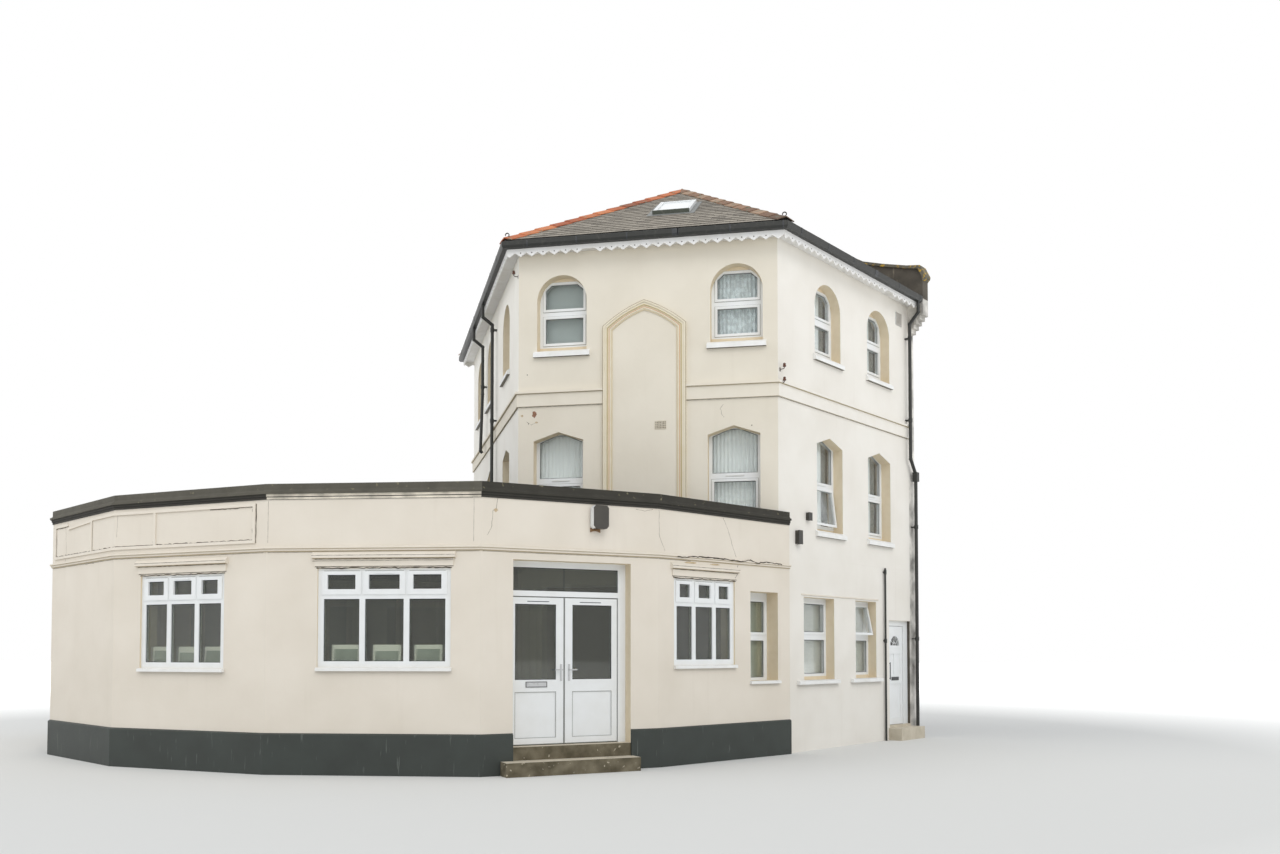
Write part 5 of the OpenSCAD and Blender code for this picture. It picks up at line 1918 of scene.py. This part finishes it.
@dataclass
class WallFixtures(Assembly):
    """Small fixed things on walls and doors, and thin facings on things that the CAD has.

    They are junction boxes, insulators, the air brick with holes of painted shade, the lamp bracket,
    trickle vents, the alarm box's cover, the niche's lines of colour and painted shade, the air
    vent's blades, the letter plate's rim and the street door's bars.

    Args:
        alarm: The alarm box's left edge along the entrance face, in millimetres.
        fan: Middle and foot of the street door's half-round light.
    """

    alarm: float = 1653
    fan: Flat = (4328, 1872)

    def build(self) -> None:
        """Makes every piece."""
        self._boxes()
        self._insulators()
        self._air_brick()
        self._lamp()
        self._trickle_vents()
        self._alarm_front()
        self._niche_lines()
        self._air_vent()
        self._door_plate_rim()
        self._fan_bars()

    def _boxes(self) -> None:
        """Makes two dark junction boxes on the right face with their lids."""
        # Moulded plastic: black, greyed by dust
        black = SmoothPlastic("moulded_black_box", "#35332f", 0.5, "#6b6255", 0.5)
        shape = Shape()
        for s0, s1, z0, z1, out in ((520, 640, 3625, 3860, 85), (870, 980, 4073, 4207, 70)):
            self.block(shape, Face.RIGHT, box_outline(s0, z0, s1, z1), -1, -out + 14)
            self.block(shape, Face.RIGHT, box_outline(s0 - 5, z0 - 5, s1 + 5, z1 + 5), -out + 13, -out)
        self.make("junction_boxes", shape, black, "black_pipe", edge=3)

    def _insulators(self) -> None:
        """Makes glazed insulators on curled iron brackets at two corners."""
        # Galvanised iron: dark, with rusty scuffs
        iron = Coated("galvanised_iron_bracket", "#4a4038", 0.6, 0.6, "#7b5138")
        # Salt glaze: brown, with a bright highlight
        glaze = Coated("glazed_stoneware", "#5a3524", 0.25, 0.0, "#2b2420")
        brackets, caps = Shape(), Shape()
        for face, along, heights in ((Face.RIGHT, 62, (6400, 6640)), (Face.LEFT, 6990, (8570,))):
            for z in heights:
                arm = ((0, -1, -40), (0, -60, -40), (12, -82, -30), (14, -84, 10))
                brackets.tube([self.spot(face, along + s, y, z + h) for s, y, h in arm], 0.007)
                plate = box_outline(along - 14, z - 75, along + 14, z - 5)
                self.block(brackets, face, plate, -0.5, -5)
                rings = []
                for radius, h in GLAZED_PROFILE:
                    turns = [(radius * math.cos(t), radius * math.sin(t)) for t in angles(16)]
                    rings.append([self.spot(face, along + 14 + x, -84 + y, z - 5 + h) for x, y in turns])
                caps.loft(rings)
        self.make("insulator_brackets", brackets, iron, "black_pipe")
        self.make("insulators", caps, glaze, "terracotta")

    def _air_brick(self) -> None:
        """Makes the painted air brick in the niche, with its rows of square holes drawn as flat squares of
        painted shade.
        """
        # Painted clay: a shade darker than the wall
        clay = Masonry("painted_air_brick", "#cfc6b4", 0.85, "#a89c82", 60, 0.4)
        # Holes: flat, nearly black squares of painted shade
        dark = Coated("air_brick_hole_shade", "#4d483f", 0.95, 0.0, "#3d3a34")
        plate, holes = Shape(), Shape()
        self.block(plate, Face.CORNER, box_outline(2482, 5634, 2688, 5784), -0.5, -7)
        for row in range(4):
            for column in range(7):
                s, z = 2500 + column * 27, 5650 + row * 33
                self.block(holes, Face.CORNER, box_outline(s, z, s + 15, z + 17), -6, -7.6)
        self.make("air_brick", plate, clay, "cream_render", edge=2)
        self.make("air_brick_hole_shade", holes, dark, "bare_render")

    def _lamp(self) -> None:
        """Makes the rusty lamp bracket under the alarm box."""
        # Cast iron: an orange-brown crust of rust
        iron = Coated("cast_iron_rusted", "#8a6b4c", 0.75, 0.2, "#5b4130")
        shape = Shape()
        base = [(1657 + 161 * n / 8, 3501 + 22 * math.sin(math.pi * n / 8)) for n in range(9)]
        top = [(s, 3567 - 10 * math.sin(math.pi * n / 8)) for n, (s, _) in enumerate(reversed(base))]
        self.block(shape, Face.ENTRANCE, base + top, -1, -16)
        arm = [(1735, -14, 3540), (1735, -60, 3545), (1735, -74, 3530), (1735, -76, 3512)]
        shape.tube([self.spot(Face.ENTRANCE, s, y, z) for s, y, z in arm], 0.009)
        self.make("lamp_bracket", shape, iron, "black_pipe", edge=2)

    def _trickle_vents(self) -> None:
        """Makes the long vent covers on the house windows' rails."""
        # Moulded plastic: slightly greyer than the frames
        cover = SmoothPlastic("moulded_vent_cover", "#dddedb", 0.4, "#b9b8b0", 0.4)
        shape = Shape()
        for face, (firsts, _) in UPPER.items():
            for x in firsts:
                low = box_outline(x - 165, 4800, x + 165, 4824)
                high = box_outline(x - 157, 4805, x + 157, 4821)
                steps = ((low, 199.7), (low, 195), (high, 187))
                shape.loft([self.outline(face, ring, depth) for ring, depth in steps])
        self.make("trickle_vents", shape, cover, "white_upvc")

    def _alarm_front(self) -> None:
        """Makes the dark cover on the front and right side of the alarm box."""
        # Moulded plastic: a dark face on a white box
        dark = SmoothPlastic("moulded_dark_cover", "#3b3832", 0.45, "#57524a", 0.4)
        shape = Shape()
        outline = [(0, 3590), (30, 3553), (212, 3553), (242, 3590)]
        outline += [(s, 2 * 3722 - z) for s, z in reversed(outline)]
        front = [(self.alarm + s, z) for s, z in outline]
        self.block(shape, Face.ENTRANCE, front, -150.3, -152)
        inner = [(max(s, self.alarm + 34), z) for s, z in front]
        grow, middle = 1.6, (self.alarm + 121, 3722)
        outer = [
            (s + (grow if s > middle[0] else 0), z + (grow if z > middle[1] else -grow)) for s, z in inner
        ]
        for ring, depth in ((outer, -151), (outer, -40), (inner, -40), (inner, -151)):
            shape.points.extend(self.outline(Face.ENTRANCE, ring, depth))
        size = len(outer)
        start = len(shape.points) - 4 * size
        for band in range(4):
            for k in range(size - 1):
                a, b = start + band * size + k, start + ((band + 1) % 4) * size + k
                shape.face((a, a + 1, b + 1, b))
        self.make("alarm_box_cover", shape, dark, "black_pipe")

    def _niche_lines(self) -> None:
        """Makes the lines of colour on the steps of the niche's pointed frame, which also paint the steps'
        shade; the dark outer line is a painted shadow.
        """
        lines = (
            ("niche_shadow_line_outer", "#7d6544", 0.0, 0.035, 60),
            ("niche_line_olive", "#b5a377", 0.44, 0.54, 46),
            ("niche_line_orange", "#cfa27a", 0.64, 0.71, 32),
            ("niche_line_inner", "#c9b48a", 0.93, 0.98, 18),
        )
        for name, colour, outer, inner, reach in lines:
            shape = Shape()
            edges = [self.outline(Face.CORNER, niche_outline(f), -reach - 0.4) for f in (outer, inner)]
            shape.ring_band(edges[0], edges[1], -self.site.inward_of(Face.CORNER) * 0.0006)
            # Flat, matt colour for each step: partly its paint, partly its painted shade
            paint = Coated(f"paint_and_painted_shade_{name}", colour, 0.8, 0.0, colour)
            self.make(name, shape, paint, "stained_stucco")

    def _air_vent(self) -> None:
        """Makes the grey face of the louvred air vent high on the right face."""
        # Weathered plastic: warm grey blades
        grey = SmoothPlastic("louvred_vent_weathered", "#aaa49b", 0.6, "#88827a", 0.5)
        shape = Shape()
        for row in range(6):
            foot = 8412 + 38 * row
            self.block(shape, Face.RIGHT, box_outline(4324, foot - 1, 4535, foot + 23), -22.2, -24)
            self.block(shape, Face.RIGHT, box_outline(4326, foot + 23.5, 4533, foot + 36.5), -14.2, -15.5)
        self.ring(shape, Face.RIGHT, box_outline(4304, 8389, 4555, 8651), 19, -14.8, 0.6)
        self.make("air_vent_louvres", shape, grey, "white_upvc")

    def _door_plate_rim(self) -> None:
        """Makes the dark rim round the shop door's letter plate."""
        shape = Shape()
        self.ring(shape, Face.ENTRANCE, box_outline(735, 1228, 1063, 1309), 9, 190, 9.5)
        # Rubber: a black outline
        finish = Coated("black_rubber_rim", "#2f3133", 0.6)
        self.make("letter_plate_rim", shape, finish, "black_pipe", "shop_door_left")

    def _fan_bars(self) -> None:
        """Makes the sunburst of bars over the street door's half-round light."""
        # Moulded plastic: pale bars over dark glass
        white = SmoothPlastic("moulded_door_bars", "#dcdedd", 0.4, "#c4c3bd", 0.3)
        shape = Shape()
        centre = Vector(self.fan)
        for step in range(1, 5):
            turn = math.pi * step / 5
            along = Vector((math.cos(turn), math.sin(turn)))
            side = Vector((-along.y, along.x)) * 6
            near, far = centre + along * 62, centre + along * 186
            ends = [near - side, far - side, far + side, near + side]
            self.block(shape, Face.RIGHT, [(p.x, p.y) for p in ends], 97.5, 90)
        turns = [math.pi * n / 12 for n in range(13)]
        arc, inner = (
            [(centre.x + r * math.cos(t), centre.y + r * math.sin(t)) for t in turns] for r in (62, 50)
        )
        for a, b, c, d in zip(arc, arc[1:], inner[1:], inner):
            self.block(shape, Face.RIGHT, [a, b, c, d], 97.5, 90)
        self.make("street_door_bars", shape, white, "white_upvc", "street_door")


@dataclass(frozen=True)
class Mark:
    """A thin wandering mark on a wall, in millimetres.

    Args:
        line: Points that it wanders about.
        half_width: About half its width.
        out: How far it stands off the wall.
        sway: How far it wanders.
    """

    line: Sequence[Flat]
    half_width: float = 2.8
    out: float = 0.1
    sway: float = 7.0


# How far a line of painted shade and grime stands off the wall, in millimetres, where its row doesn't say
ON_WALL = 0.2
# Each line's start and end, along the face and in height, its half width and how far it stands off
SHADE_AND_GRIME_LINES: dict[Face, list[tuple[float, ...]]] = {
    Face.CORNER: [(0, 6122, 1555, 6122, 3.5), (3049, 6122, 4630, 6122, 3.5)],
    Face.RIGHT: [(0, 6122, 5085, 6122, 3.5)],
    Face.LEFT: [(300, 6122, 7050, 6122, 3.0)],
    Face.SHOP_FAR_LEFT: [
        (187, 3346, 187, 3830, 10), (1814, 3350, 1814, 3830, 4),
        (187, 3353, 2700, 3353, 8), (187, 3826, 740, 3826, 7),
        (60, 3160, 2700, 3160, 3),
    ],
    Face.SHOP_LEFT: [
        (0, 3353, 800, 3353, 6), (797, 3352, 797, 3830, 9),
        (858, 3353, 2706, 3353, 8), (1900, 3825, 2706, 3825, 8),
        (2702, 3350, 2702, 3830, 8), (2764, 3310, 2764, 3870, 9),
        (0, 3159, 2900, 3159, 2.5), (540, 2890, 2200, 2890, 8),
        (40, 3500, 60, 3830, 2),
    ],
    Face.SHOP_FRONT: [
        (20, 3159, 3100, 3159, 2.5), (745, 2930, 2705, 2930, 10),
        (700, 3030, 2740, 3034, 3, 44.0), (40, 3917, 3000, 3917, 2),
        (20, 3300, 22, 3900, 2), (3015, 3300, 3018, 3900, 2),
    ],
    Face.ENTRANCE: [(20, 3159, 2780, 3159, 3)],
    Face.SHOP_RIGHT: [
        (0, 3159, 700, 3159, 3), (366, 3204, 901, 3236, 10, 45.3),
        (901, 3236, 1408, 3229, 12, 45.3), (1408, 3229, 1833, 3217, 12, 45.3),
        (1833, 3217, 2034, 3250, 9, 45.3), (2034, 3250, 2208, 3212, 10, 45.3),
        (2208, 3212, 2461, 3248, 9, 45.3), (2461, 3248, 2850, 3221, 10, 45.3),
        (1789, 3160, 1764, 3046, 4, 0.3), (1764, 3046, 1668, 2935, 4, 44.3),
        (310, 2888, 1730, 2888, 9), (330, 3052, 1640, 3048, 3.5, 44.3),
    ],
}


@dataclass
class Weathering(Assembly):
    """Cracks, dark lines of painted shade and grime, chips, and drilled holes drawn as dark spots of painted
    shade in the render.
    """

    def build(self) -> None:
        """Makes the marks of every face."""
        self._cracks()
        self._shade_and_grime_lines()
        self._patches()

    def _cracks(self) -> None:
        """Makes cracks 2 to 6 mm wide as thin dark strips that lie on the render."""
        # Open cracks: brown-grey lines, a little paler where their edges have worn
        dark = Coated("open_crack_in_render", "#5f5342", 0.95, 0.0, "#7d705a")
        hook = [(3690, 6020), (3640, 5960), (3660, 5860), (3700, 5800)]
        lines: dict[Face, tuple[list[Flat], ...]] = {
            Face.ENTRANCE: (
                [(241, 3934), (212, 3776), (165, 3730), (151, 3517), (89, 3387)],
                [(2700, 3905), (2560, 3870), (2410, 3890)],
            ),
            Face.SHOP_RIGHT: (
                [(1434, 3915), (1551, 3717), (1741, 3290)],
                [(9, 3900), (12, 3519), (136, 3283)],
            ),
            Face.CORNER: (hook, [(150, 5860), (240, 5800), (330, 5842)]),
            Face.SHOP_FAR_LEFT: ([(600, 3880), (640, 3400), (610, 3250)], [(1500, 3160), (1900, 3150)]),
        }
        for face, found in lines.items():
            self._marks("cracks", "", face, [Mark(line) for line in found], dark)

    def _shade_and_grime_lines(self) -> None:
        """Makes the dark lines under bands, over windows and round the sign panels: painted shade, with dirt
        and open joints.
        """
        # Nearly black lines that part moulding from wall: painted shade, with dirt in the joints
        dark = Coated("painted_shade_and_grime_in_joint", "#3b3226", 0.95, 0.0, "#574b3a")
        lines = dict(SHADE_AND_GRIME_LINES)
        for face, left, right, _, head in SHOP_WINDOWS[:3]:
            lines[face] = [
                *SHADE_AND_GRIME_LINES[face],
                (left - 38, head + 28, right + 38, head + 28, 4, 0.3),
                (left - 38, head + 133, right + 38, head + 133, 5, 20.4),
                (left - 68, head + 185, right + 68, head + 185, 3.5, 60.3),
            ]
        for face, found in lines.items():
            marks = []
            for s0, z0, s1, z1, half_width, *out in found:
                sway = 1.0 if half_width < 6.5 else 8.0
                marks.append(Mark([(s0, z0), (s1, z1)], half_width, *(out or [ON_WALL]), sway))
            self._marks("shade_and_grime_lines", "dirt", face, marks, dark)

    def _marks(self, name: str, seed: str, face: Face, marks: Sequence[Mark], finish: Finish) -> None:
        """Makes one face's marks as one piece.

        Args:
            name: The start of the piece's name.
            seed: The start of the seeds of their random numbers.
            face: The face that they lie on.
            marks: The marks.
            finish: Their finish.
        """
        shape = Shape()
        for number, mark in enumerate(marks):
            dice = random.Random(f"{seed}{face.value}{number}")
            path: list[Vector] = []
            for start, end in zip(mark.line, mark.line[1:]):
                a, b = Vector(start), Vector(end)
                pieces = max(2, int((b - a).length / 45))
                for k in range(pieces):
                    sway = (dice.uniform(-mark.sway, mark.sway), dice.uniform(-mark.sway, mark.sway))
                    path.append(a.lerp(b, k / pieces) + Vector(sway))
            path.append(Vector(mark.line[-1]))
            half = mark.half_width
            for k, (a, b) in enumerate(zip(path, path[1:])):
                along = (b - a).normalized()
                side = Vector((-along.y, along.x))
                before, half = half, mark.half_width * dice.uniform(0.45, 1.0)
                ends = [a - side * before, b - side * half, b + side * half, a + side * before]
                far = -mark.out - 0.4 - 0.01 * (k % 2)
                self.block(shape, face, [(p.x, p.y) for p in ends], -mark.out, far)
        self.make(f"{name}_{face.value}", shape, finish, "bare_render")

    def _patches(self) -> None:
        """Makes chipped patches, where brick or undercoat shows, and drilled holes drawn as dark painted
        shade, all as thin irregular scabs.
        """
        # Brick, undercoat and holes: small warm, pale and dark scabs that break the paint's even face; the
        # holes' dark scabs are painted shade
        brick = Masonry("bare_brick_in_chip", "#96705a", 0.95, "#6a4d40", 30, 0.7)
        under = Masonry("bare_undercoat", "#c9b596", 0.95, "#97866b", 40, 0.6)
        hollow = Coated("drilled_hole_shade_in_render", "#57503f", 0.95)
        chips = (
            (Face.CORNER, 68, 5972, 26, 24),
            (Face.CORNER, 338, 5842, 30, 20),
            (Face.SHOP_RIGHT, 700, 3136, 150, 20),
            (Face.SHOP_RIGHT, 1250, 3138, 120, 16),
            (Face.ENTRANCE, 210, 3745, 34, 30),
        )
        holes = ((164, 6709, 11, 11), (190, 5823, 9, 12), (4180, 5640, 10, 14))
        groups = (
            ("brick_chips", brick, ((Face.CORNER, 300, 5990, 46, 62),)),
            ("undercoat_chips", under, chips),
            ("drilled_holes", hollow, [(Face.CORNER, *hole) for hole in holes]),
        )
        for name, finish, spots in groups:
            shape = Shape()
            for face, s, z, wide, tall in spots:
                dice = random.Random(f"{name}{s}")
                turns = [(t, dice.uniform(0.72, 1.1)) for t in angles(18)]
                low = [(s + wide * r * math.cos(t), z + tall * r * math.sin(t)) for t, r in turns]
                high = [(s + (x - s) * 0.9, z + (y - z) * 0.9) for x, y in low]
                steps = ((low, -0.1), (low, -0.5), (high, -1.4))
                shape.loft([self.outline(face, ring, depth) for ring, depth in steps])
            self.make(name, shape, finish, "bare_render")


@dataclass(frozen=True)
class Studio:
    """Camera, lamps and floor.

    Args:
        site: The plan's place in the frame.
        eye: The camera's place in plan from the house's left front corner, and its height.
        heading: Where the camera looks in plan, in degrees.
        tilt: How far it looks up, in degrees.
        focal_px: Its focal length in pixels of a picture as wide as frame_px.
        frame_px: The picture's width and height.
        horizon_px: The row of the horizon in that picture.
        sensor_mm: The width of the camera's sensor.
        floor_half: Half the floor's width, in metres.
    """

    site: Site
    eye: Point = (5.59107, -18.00128, 1.74)
    heading: float = 100.6
    tilt: float = 1.9
    focal_px: float = 1050.0
    frame_px: tuple[int, int] = (1280, 854)
    horizon_px: float = 652.0
    sensor_mm: float = 36.0
    floor_half: float = 150.0

    def build(self) -> None:
        """Makes the camera, the lamps, the world and the floor."""
        self._camera()
        self._light()
        self._floor()

    def _camera(self) -> None:
        """Makes the camera, shifted so that upright edges stay nearly upright."""
        lens = bpy.data.cameras.new("camera")
        lens.sensor_width = self.sensor_mm
        lens.lens = self.sensor_mm * self.focal_px / self.frame_px[0]
        rise = self.focal_px * math.tan(math.radians(self.tilt))
        lens.shift_y = (self.horizon_px - rise - self.frame_px[1] / 2) / self.frame_px[0]
        lens.clip_end = 400.0
        camera = bpy.data.objects.new("camera", lens)
        bpy.context.scene.collection.objects.link(camera)
        flat = Vector(self.eye[:2]) + self.site.origin
        camera.location = (flat.x, flat.y, self.eye[2])
        camera.rotation_euler = (math.radians(90 + self.tilt), 0.0, math.radians(self.heading - 90))
        bpy.context.scene.camera = camera

    def _light(self) -> None:
        """Makes a broad soft key lamp, a fill lamp and an even sky that shows white behind the building."""
        for name, energy, turn in (("key_lamp", 0.9, 35), ("fill_lamp", 0.62, -70)):
            lamp = bpy.data.lights.new(name, "SUN")
            lamp.energy = energy
            lamp.angle = math.radians(40)
            lamp.color = (1.0, 0.98, 0.95)
            stand = bpy.data.objects.new(name, lamp)
            stand.rotation_euler = (math.radians(48), 0.0, math.radians(turn))
            bpy.context.scene.collection.objects.link(stand)
        world = bpy.data.worlds.new("studio")
        bpy.context.scene.world = world
        world.use_nodes = True
        tree = world.node_tree
        tree.nodes.clear()
        rays = add_node(tree, "ShaderNodeLightPath")
        seen = sum_up(tree, "MAXIMUM", rays.outputs["Is Camera Ray"], rays.outputs["Is Transmission Ray"])
        seen = sum_up(tree, "MAXIMUM", seen, rays.outputs["Is Glossy Ray"])
        lamp_sky = add_node(tree, "ShaderNodeBackground", {"Color": linear("#eef2f8"), "Strength": 0.8})
        white = add_node(tree, "ShaderNodeBackground", {"Color": linear("#ffffff"), "Strength": 1.0})
        skies = {0: seen, 1: lamp_sky.outputs[0], 2: white.outputs[0]}
        mixed = add_node(tree, "ShaderNodeMixShader", links=skies)
        add_node(tree, "ShaderNodeOutputWorld", links={0: mixed.outputs[0]})

    def _floor(self) -> None:
        """Makes the plain pale floor."""
        half = self.floor_half
        mesh = bpy.data.meshes.new("studio_floor")
        corners = [(x, y, 0.0) for x, y in box_outline(-half, -half, half, half)]
        mesh.from_pydata(corners, [], [(0, 1, 2, 3)])
        floor = bpy.data.objects.new("studio_floor", mesh)
        bpy.context.scene.collection.objects.link(floor)
        StudioPaper("studio_paper", "#d9d9d6", 0.95).dress(floor)


def main() -> None:
    """Builds every sub-assembly in order and reports each piece."""
    logging.basicConfig(level=logging.INFO, format="%(message)s")
    scene = bpy.context.scene
    scene.view_settings.view_transform = "Standard"
    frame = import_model()
    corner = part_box("corner_wall")[0]
    site = Site(Vector((corner.x, corner.y)))
    Studio(site).build()
    by_node = finishes(site.origin)
    for name, solid in frame["nodes"].items():
        by_node[name].dress(solid)
        log.info("%s: %s", name, by_node[name].name)
    for part in (RoofCovering, EavesTrim, Glazing, Hangings, ShopDressing, WallFixtures, Weathering):
        part(site).build()


if __name__ == "__main__":
    main()
